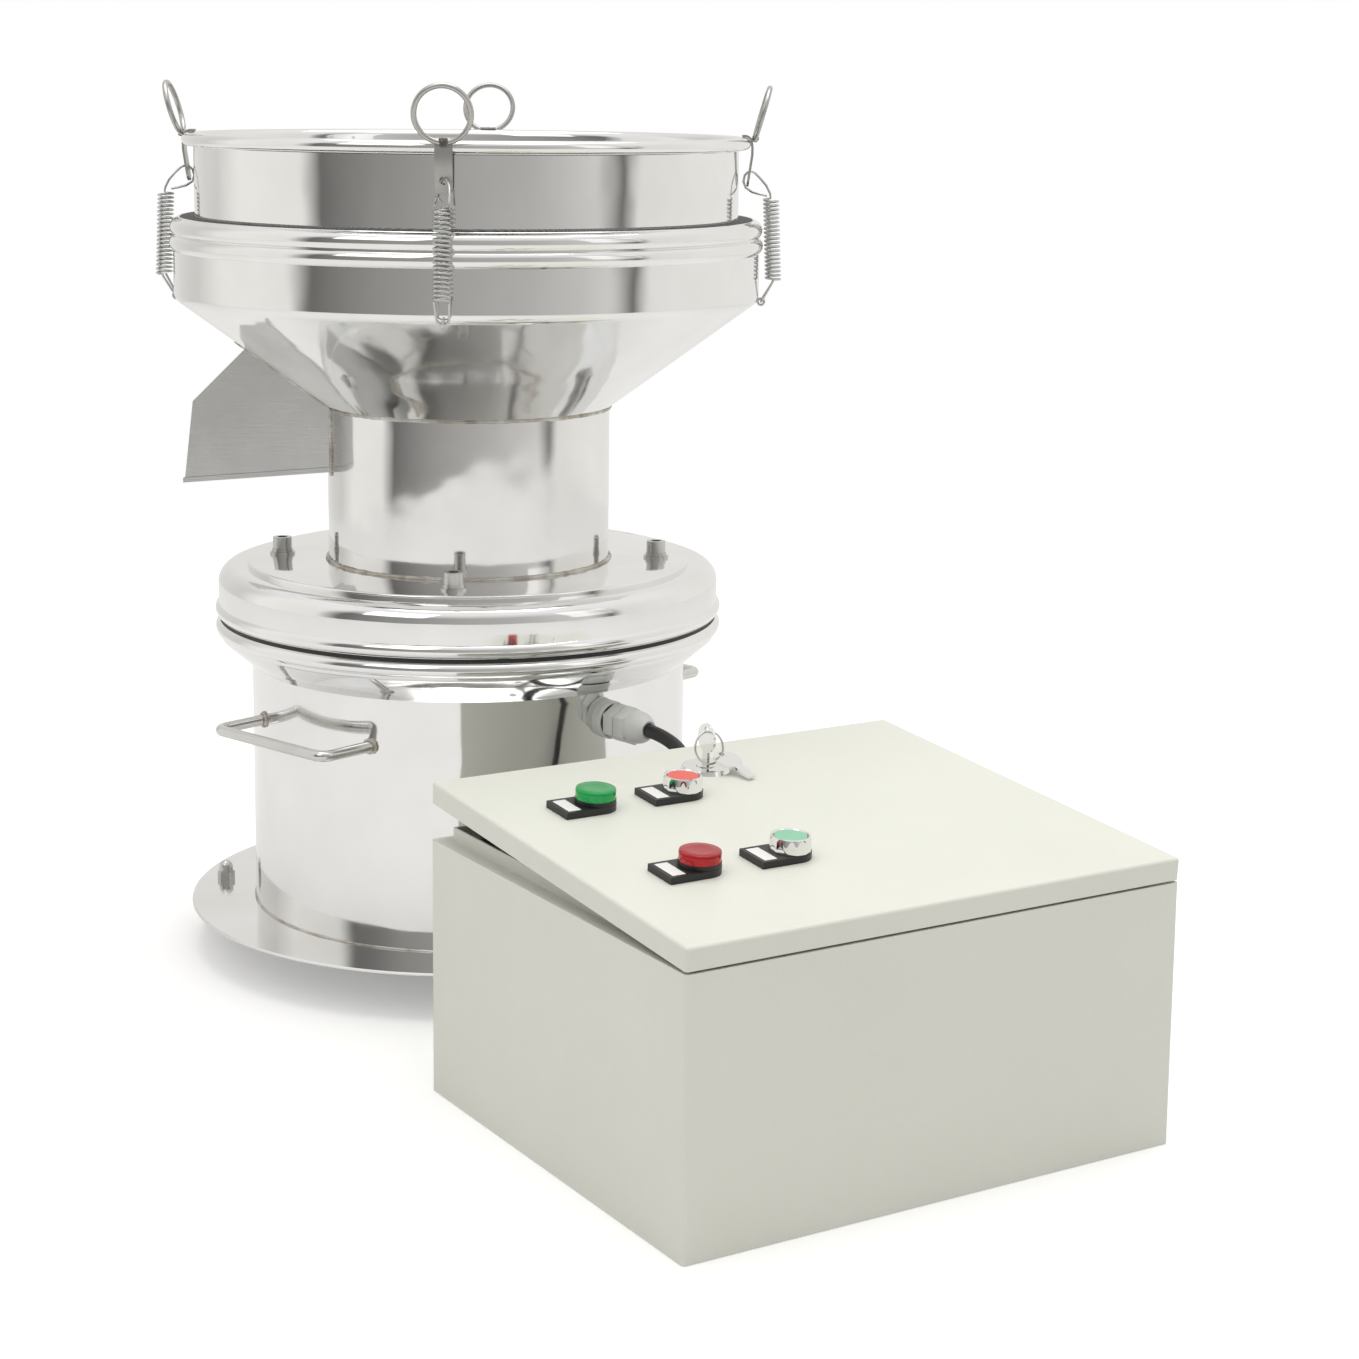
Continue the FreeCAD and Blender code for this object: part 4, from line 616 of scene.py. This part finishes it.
def hexShape(bm, flats, low, high, bevel=0.6):
    made = bmesh.ops.create_circle(bm, segments=6, radius=flats / math.sqrt(3), cap_ends=True,
                                   matrix=Matrix.Translation((0, 0, low)))
    faces = list({face for vert in made["verts"] for face in vert.link_faces})
    top = bmesh.ops.extrude_face_region(bm, geom=faces)["geom"]
    moved = [item for item in top if isinstance(item, bmesh.types.BMVert)]
    bmesh.ops.translate(bm, verts=moved, vec=(0, 0, high - low))
    edges = list({edge for vert in made["verts"] + moved for edge in vert.link_edges})
    bmesh.ops.bevel(bm, geom=edges, offset=bevel, segments=2, affect="EDGES", profile=0.5, material=-1)


def placed(name, bm, place, material, body, replaces=(), smooth=35):
    bmesh.ops.recalc_face_normals(bm, faces=bm.faces)
    bmesh.ops.transform(bm, matrix=place, verts=bm.verts)
    piece = fromBmesh(name, bm, material, body, smooth, False)
    if replaces:
        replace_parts(piece, *replaces)
    return piece


def frameMatrix(origin, x, y, z):
    turn = Matrix((x, y, z)).transposed().to_4x4()
    return Matrix.Translation(origin) @ turn @ Matrix.Scale(mm, 4)


def sideTurn(degrees):
    t = math.radians(degrees)
    return frameMatrix(axis, (math.cos(t), math.sin(t), 0), (-math.sin(t), math.cos(t), 0), (0, 0, 1))


# clamps: sheet hooks with a pull ring, and springs with real coils
clampSizes = {"low": (244.994, 550.136), "top": (252.0, 636.0), "bottom": (254.8, 568.0), "coil": 6.0,
              "wire": 1.0, "turns": 20, "width": 13.5, "foot": (231.2, 646.0), "bend": (235.0, 672.0),
              "rim": (229.5, 681.0), "rimGap": 5.5, "wrap": 110.0, "sheet": 1.8, "hole": 3.2,
              "holeUp": 10.8, "ringRadius": 21.6, "ringWire": 2.2, "ringLean": 16.0}


def strapPoint(along):
    # the strap's inner line: up the slope, straight to the rim, then round it
    c = clampSizes
    foot, bend = Vector((c["foot"][0], 0, c["foot"][1])), Vector((c["bend"][0], 0, c["bend"][1]))
    slope = (bend - foot).length
    if along < slope:
        return foot.lerp(bend, along / slope)
    along -= slope
    rise = c["rim"][1] - c["bend"][1]
    if along < rise:
        return bend + Vector((0, 0, along))
    turn = (along - rise) / c["rimGap"]
    return Vector((c["rim"][0] + c["rimGap"] * math.cos(turn), 0, c["rim"][1] + c["rimGap"] * math.sin(turn)))


def hookStrap(side, degrees):
    c = clampSizes
    length = 35.28 + math.radians(c["wrap"]) * c["rimGap"]
    bm = bmesh.new()
    bmesh.ops.create_grid(bm, x_segments=1, y_segments=1, size=0.5)
    bmesh.ops.scale(bm, vec=(length, c["width"], 1), verts=bm.verts)
    bmesh.ops.translate(bm, vec=(length / 2, 0, 0), verts=bm.verts)
    ends = [vert for vert in bm.verts if vert.co.x < 0.1]
    bmesh.ops.bevel(bm, geom=ends, offset=c["width"] * 0.42, segments=6, affect="VERTICES", profile=0.5, material=-1)
    bmesh.ops.delete(bm, geom=bm.faces[:], context="FACES_ONLY")
    bmesh.ops.create_circle(bm, segments=20, radius=c["hole"], matrix=Matrix.Translation((c["holeUp"], 0, 0)))
    bmesh.ops.triangle_fill(bm, edges=bm.edges[:], use_beauty=True, use_dissolve=False)
    cut = 20.0
    while cut < length:
        bmesh.ops.bisect_plane(bm, geom=bm.verts[:] + bm.edges[:] + bm.faces[:], dist=1e-4,
                               plane_co=(cut, 0, 0), plane_no=(1, 0, 0))
        cut += 6.0 if cut < 34 else 1.2
    for vert in bm.verts:
        vert.co = strapPoint(vert.co.x) + Vector((0, vert.co.y, 0))
    bmesh.ops.recalc_face_normals(bm, faces=bm.faces)
    face = max(bm.faces, key=lambda one: one.calc_area())
    bmesh.ops.solidify(bm, geom=bm.faces[:], thickness=c["sheet"] * (1 if face.normal.x < 0 else -1))
    hook = placed("strap_" + side, bm, sideTurn(degrees), "hook", "clamp_" + side,
                  ["clamp_hook_" + side], 40)
    lean = math.radians(c["ringLean"])
    foot = Vector((237.75, 0, 684.85))
    up = Vector((math.sin(lean), 0, math.cos(lean)))
    centre = foot + up * c["ringRadius"]
    turn = sideTurn(degrees)
    points = []
    for k in range(72):
        t = math.tau * k / 72
        radius = c["ringRadius"] * (1 + 0.012 * math.cos(2 * t + degrees))
        points.append(turn @ (centre + up * radius * math.cos(t) + Vector((0, 1, 0)) * radius * math.sin(t)))
    asObject("pullRing_" + side, curveMesh("pullRing_" + side, points, c["ringWire"] * mm, 4, True), "hook",
             "clamp_" + side, 60)
    bm = bmesh.new()
    bmesh.ops.create_icosphere(bm, subdivisions=4, radius=1)
    for vert in bm.verts:
        rough = 1 + 0.3 * noise.noise(vert.co * 2.2 + Vector((degrees, 0, 0))) + 0.12 * noise.noise(vert.co * 7)
        vert.co = Vector((vert.co.x * 2.6, vert.co.y * 4.2, vert.co.z * 3.0)) * rough + foot + Vector((0.6, 0, 0.4))
    placed("hookWeld_" + side, bm, turn, "scorch", "clamp_" + side, (), 60)
    return hook


def springCoil(side, degrees):
    c = clampSizes
    top = Vector((c["top"][0], 0, c["top"][1]))
    bottom = Vector((c["bottom"][0], 0, c["bottom"][1]))
    across = Vector((0, 1, 0))
    along = (top - bottom).normalized()
    outward = across.cross(along).normalized()
    eye = Vector((c["low"][0], 0, c["low"][1]))
    way = (bottom - eye).normalized()
    middle = eye + way * c["coil"] * 0.8
    low = [bottom - across * c["coil"]]
    for k in range(13):
        t = math.pi * k / 12
        low.append(middle - across * (c["coil"] * 0.8 * math.cos(t)) - way * (c["coil"] * 0.8 * math.sin(t)))
    low += [bottom + across * c["coil"] * 0.9 - along * 1.5]
    steps = c["turns"] * 14
    helix = []
    for k in range(steps + 1):
        t = math.tau * c["turns"] * k / steps
        helix.append(bottom + along * ((top - bottom).length * k / steps)
                     + across * (c["coil"] * math.cos(t)) + outward * (c["coil"] * math.sin(t)))
    high = [(251.4, 5.6, 640), (248.2, 5.6, 646.5), (243, 4.9, 652.5), (238.6, 3.0, 656.8), (235.4, 0.9, 658.2),
            (232.4, -0.4, 657.4), (229.8, -2.4, 655), (228.8, -4.2, 650), (230.6, -5.4, 645), (236, -5.8, 641.6),
            (243, -5.7, 639.6), (248.5, -5.5, 638.6)]
    turn = sideTurn(degrees)
    points = [turn @ point for point in low + helix + [Vector(point) for point in high]]
    spring = asObject("spring_" + side, curveMesh("spring_" + side, points, c["wire"] * mm, 2), "spring",
                      None, 60)
    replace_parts(spring, "clamp_spring_" + side)
    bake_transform(spring)


for index, side in enumerate(["right", "back", "left", "front"]):
    hookStrap(side, 90 * index)
    springCoil(side, 90 * index)
print("clamps built")


# handles: bent rod welded to the barrel
handleSizes = {"rod": 4.5, "reach": 221.0, "half": 66.0, "bend": 9.0, "height": 206.0, "turns": (228.0, 48.0)}


def addHandles():
    h = handleSizes
    meshes = bmesh.new()
    for degrees in h["turns"]:
        points = [Vector((171, -h["half"], h["height"])), Vector((h["reach"] - h["bend"], -h["half"], h["height"]))]
        for start, centre in ((-90, (h["reach"] - h["bend"], -h["half"] + h["bend"])),
                              (0, (h["reach"] - h["bend"], h["half"] - h["bend"]))):
            points += [Vector((x, y, h["height"])) for x, y in arcPoints(centre, h["bend"], start, start + 90, 8)]
        points.append(Vector((171, h["half"], h["height"])))
        turn = sideTurn(degrees)
        mesh = curveMesh("rod", [turn @ point for point in points], h["rod"] * mm, 5)
        meshes.from_mesh(mesh)
        bpy.data.meshes.remove(mesh)
        for side in (-1, 1):
            loop = []
            for k in range(48):
                t = math.tau * k / 48
                y = side * h["half"] + (h["rod"] + 0.4) * math.cos(t)
                loop.append(turn @ Vector((math.sqrt(sh["barrel"] ** 2 - y * y) + 0.4, y,
                                           h["height"] + (h["rod"] + 0.4) * math.sin(t))))
            weldBead(f"weldHandle{int(degrees)}{'a' if side < 0 else 'b'}", loop, 0.0018, True, "base", 0.003, 0.35)
    rods = fromBmesh("handleRods", meshes, "satinRod", "base", 60)
    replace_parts(rods, "handles")


# spout and neck welds
def spoutWelds():
    half, radius = 42.4, sh["neck"]
    for side in (-1, 1):
        along = []
        for k in range(30):
            z = 464 + 52 * k / 29
            out = radius + (z - sh["neckTop"]) * (sh["pan"] - radius) / (sh["panCorner"] - sh["neckTop"])
            x = -math.sqrt(max(out * out - half * half, 1))
            if -x < 221:
                along.append(axis + Vector((x, side * half, z)) * mm)
        weldBead(f"weldCone{side + 1}", along, 0.0013, False, "vibrating")
        x = -math.sqrt(radius * radius - half * half) - 0.6
        upright = [axis + Vector((x, side * half, 405 + 56 * k / 20)) * mm for k in range(21)]
        weldBead(f"weldSpout{side + 1}", upright, 0.0015, False, "vibrating")


# cable glands: round collar, hexagon, tapered dome
glandSizes = {"collar": 15.5, "flats": 27.0, "body": 24.0, "cap": 38.0, "tip": 53.0}


def addGlands():
    g = glandSizes
    t = math.radians(-48.5)
    out = Vector((math.cos(t), math.sin(t), 0))
    places = [frameMatrix(axis + out * 0.1835 + Vector((0, 0, 0.223)), Vector((0, 0, 1)).cross(out).normalized(),
                          Vector((0, 0, 1)), out * 1.0),
              frameMatrix(boxPoint(355, 350, 69), -boxU, Vector((0, 0, 1)), boxV)]
    bodies, caps = bmesh.new(), bmesh.new()
    for index, place in enumerate(places):
        body = bmesh.new()
        low = 0.4 if index else -0.6
        turnedShape(body, [(6, low), (g["collar"], low), (g["collar"], 7.4), (g["collar"] - 1.4, 8.9), (6, 8.9)])
        hexShape(body, g["flats"], 11.2, g["body"] - 1.6)
        turnedShape(body, [(6, g["body"] - 1.6), (12, g["body"] - 1.6), (12, g["body"] - 0.2), (6, g["body"] - 0.2)])
        bmesh.ops.recalc_face_normals(body, faces=body.faces)
        bmesh.ops.transform(body, matrix=place, verts=body.verts)
        cap = bmesh.new()
        hexShape(cap, g["flats"], g["body"], g["cap"] - 2)
        dome = [(5.7, g["cap"] - 2), (13.2, g["cap"] - 2), (13.2, g["cap"])]
        dome += [(13.2 - 5.0 * (k / 8) ** 2.2, g["cap"] + 13.2 * k / 8) for k in range(1, 9)]
        dome += [(7.2, g["tip"] - 0.6), (5.7, g["tip"] - 0.9)]
        turnedShape(cap, dome)
        bmesh.ops.recalc_face_normals(cap, faces=cap.faces)
        bmesh.ops.transform(cap, matrix=place, verts=cap.verts)
        for source, target in ((body, bodies), (cap, caps)):
            mesh = bpy.data.meshes.new("gland")
            source.to_mesh(mesh)
            source.free()
            target.from_mesh(mesh)
            bpy.data.meshes.remove(mesh)
    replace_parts(fromBmesh("glandBodies", bodies, "nylon", "base", 35, False), "gland_bodies")
    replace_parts(fromBmesh("glandCaps", caps, "nylon", "base", 35, False), "gland_caps")


# lamps and buttons on the lid
lidSizes = {"hinge": (4.0, 197.0), "top": 208.0, "near": 79.0, "far": 151.0, "high": 252.0, "low": 113.0,
            "radius": 14.8, "seat": 5.0}


def lidPlace(u, v, z):
    origin = (boxPoint(0, *lidSizes["hinge"]) + boxU * (u * mm) + lidV * ((v - lidSizes["hinge"][0]) * mm)
              + lidUp * ((z - lidSizes["hinge"][1]) * mm))
    return frameMatrix(origin, boxU, lidV, lidUp)


def addDevices():
    d = lidSizes
    for name, v, body in (("lensGreen", d["high"], "lid"), ("lensRed", d["low"], "lid")):
        bm = bmesh.new()
        r = d["radius"] - 0.4
        turnedShape(bm, [(0, 8.1), (r, 8.1), (r, 13.4), (r - 0.5, 13.7), (r - 0.5, 14.1), (r, 14.4), (r - 0.3, 15.1),
                         (r - 1.4, 15.5), (r * 0.6, 15.2), (0, 15.0)], 64)
        placed(name + "Dome", bm, lidPlace(d["near"], v, d["top"]), name, body,
               ["lamp_" + name.replace("lens", "lens_").lower()])
    bm = bmesh.new()
    for v in (d["high"], d["low"]):
        bezel = bmesh.new()
        r = d["radius"] - 0.3
        turnedShape(bezel, [(r - 2.9, 14.6), (r - 2.9, 5.2), (r, 5.2), (r, 13.9), (r - 0.7, 15.2), (r - 2.2, 15.5)], 96)
        for vert in bezel.verts:
            turn = math.atan2(vert.co.y, vert.co.x)
            if vert.co.xy.length > r - 0.1 and vert.co.z < 14:
                vert.co.xy *= 1 - 0.035 * (0.5 + 0.5 * math.cos(turn * 12)) * (1 if vert.co.z > 6 else 0.4)
        bmesh.ops.recalc_face_normals(bezel, faces=bezel.faces)
        bmesh.ops.transform(bezel, matrix=lidPlace(d["far"], v, d["top"]), verts=bezel.verts)
        mesh = bpy.data.meshes.new("bezel")
        bezel.to_mesh(mesh)
        bezel.free()
        bm.from_mesh(mesh)
        bpy.data.meshes.remove(mesh)
    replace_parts(fromBmesh("bezelRings", bm, "chrome", "lid", 35, False), "button_bezels")


# rubber feet
footSizes = {"radius": 20.0, "height": 37.0, "circle": 215.0, "start": 176.0}


def addFeet():
    f = footSizes
    bm = bmesh.new()
    for k in range(3):
        t = math.radians(f["start"] + 120 * k)
        outline = [(0, 0)] + arcPoints((f["radius"] - 7, 7), 7, -90, 0, 8)
        outline += [(f["radius"], f["height"] - 2), (f["radius"] - 1.5, f["height"] - 0.1), (0, f["height"] - 0.1)]
        turnedShape(bm, outline, 48, (f["circle"] * math.cos(t), f["circle"] * math.sin(t), 0))
    placed("rubberFeet", bm, sideTurn(0), "rubber", "base", ["foot_pads"])


addHandles()
spoutWelds()
addGlands()
addDevices()
addFeet()
print("fittings built")


# floor, backdrop and lamps; the room's places run round from behind the object
roomSizes = {
    "room": [(0.0, 0.42), (0.09, 0.3), (0.16, 0.16), (0.19, 0.9), (0.29, 0.95), (0.34, 0.7), (0.5, 0.85),
             (0.66, 0.92), (0.78, 0.85), (0.8, 0.15), (0.83, 0.7), (0.92, 0.5), (1.0, 0.42)],
    "sky": [(0.0, 0.3), (0.25, 0.5), (0.6, 0.85), (1.0, 1.15)],
    "wallTop": 0.45,
    "ceiling": 0.8,
}


def addStage():
    bm = bmesh.new()
    bmesh.ops.create_circle(bm, segments=128, radius=stageSizes["floor"], cap_ends=True)
    mesh = bpy.data.meshes.new("floor")
    bm.to_mesh(mesh)
    bm.free()
    floor = bpy.data.objects.new("floor", mesh)
    bpy.context.collection.objects.link(floor)
    floor.location.z = -0.0004
    paint = Paint("paleFloor", (0.8, 0.8, 0.8), 0.9)
    cloud = paint.noise(3, 3, 0.5)
    paint.set("Base Color", paint.blendColor(cloud, (0.8, 0.8, 0.8), (0.78, 0.78, 0.78)))
    seen = paint.wire("ShaderNodeLightPath", {}, {}, "Is Camera Ray")
    paint.set("Emission Color", paint.blendColor(seen, (0, 0, 0), (0.3, 0.3, 0.3)))
    paint.set("Emission Strength", 1.0)
    mesh.materials.append(paint.material)


def addWorld():
    # white to the camera, a soft studio for light, and a room of pale and dark walls for polished metal
    world = bpy.data.worlds.new("studio")
    bpy.context.scene.world = world
    world.use_nodes = True
    tree = world.node_tree
    back = next(n for n in tree.nodes if n.type == "BACKGROUND")

    def node(kind, settings, inputs):
        made = tree.nodes.new(kind)
        for name, value in settings.items():
            if name == "stops":
                while len(made.color_ramp.elements) < len(value):
                    made.color_ramp.elements.new(0.5)
                for element, (place, level) in zip(made.color_ramp.elements, value):
                    element.position = place
                    element.color = (level, level * 0.985, level * 0.95, 1)
            else:
                setattr(made, name, value)
        for name, value in inputs.items():
            if isinstance(value, bpy.types.NodeSocket):
                tree.links.new(value, made.inputs[name])
            else:
                made.inputs[name].default_value = value
        return made

    coords = node("ShaderNodeTexCoord", {}, {})
    split = node("ShaderNodeSeparateXYZ", {}, {0: coords.outputs["Generated"]})
    turn = node("ShaderNodeMath", {"operation": "ARCTAN2"}, {0: split.outputs["X"], 1: split.outputs["Y"]})
    share = node("ShaderNodeMapRange", {}, {"Value": turn.outputs[0], "From Min": -math.pi, "From Max": math.pi})
    room = node("ShaderNodeValToRGB", {"stops": roomSizes["room"]}, {0: share.outputs[0]})
    height = node("ShaderNodeMapRange", {}, {"Value": split.outputs["Z"], "From Min": roomSizes["wallTop"],
                                         "From Max": roomSizes["ceiling"]})
    ceiling = node("ShaderNodeMix", {"data_type": "RGBA"}, {0: height.outputs[0], 6: room.outputs[0],
                                                           7: (0.95, 0.95, 0.95, 1)})
    light = node("ShaderNodeValToRGB", {"stops": roomSizes["sky"]}, {0: split.outputs["Z"]})
    path = node("ShaderNodeLightPath", {}, {})
    metal = node("ShaderNodeMix", {"data_type": "RGBA"}, {0: path.outputs["Is Glossy Ray"], 6: light.outputs[0],
                                                         7: ceiling.outputs[2]})
    final = node("ShaderNodeMix", {"data_type": "RGBA"}, {0: path.outputs["Is Camera Ray"], 6: metal.outputs[2],
                                                         7: (1, 1, 1, 1)})
    tree.links.new(final.outputs[2], back.inputs["Color"])
    back.inputs["Strength"].default_value = 1.0


bpy.context.scene.view_settings.view_transform = "Standard"
addStage()
addWorld()
areaLamp("keyLamp", (-1.6, -2.2, 2.6), (0, 0, 0.3), (1.6, 1.6), 10)
areaLamp("fillLamp", (2.4, -1.2, 1.6), (0, 0, 0.3), (1.2, 1.8), 3)
areaLamp("topLamp", (0.0, 0.3, 3.2), (0, 0, 0.3), (2.4, 2.4), 36)
print("stage set")
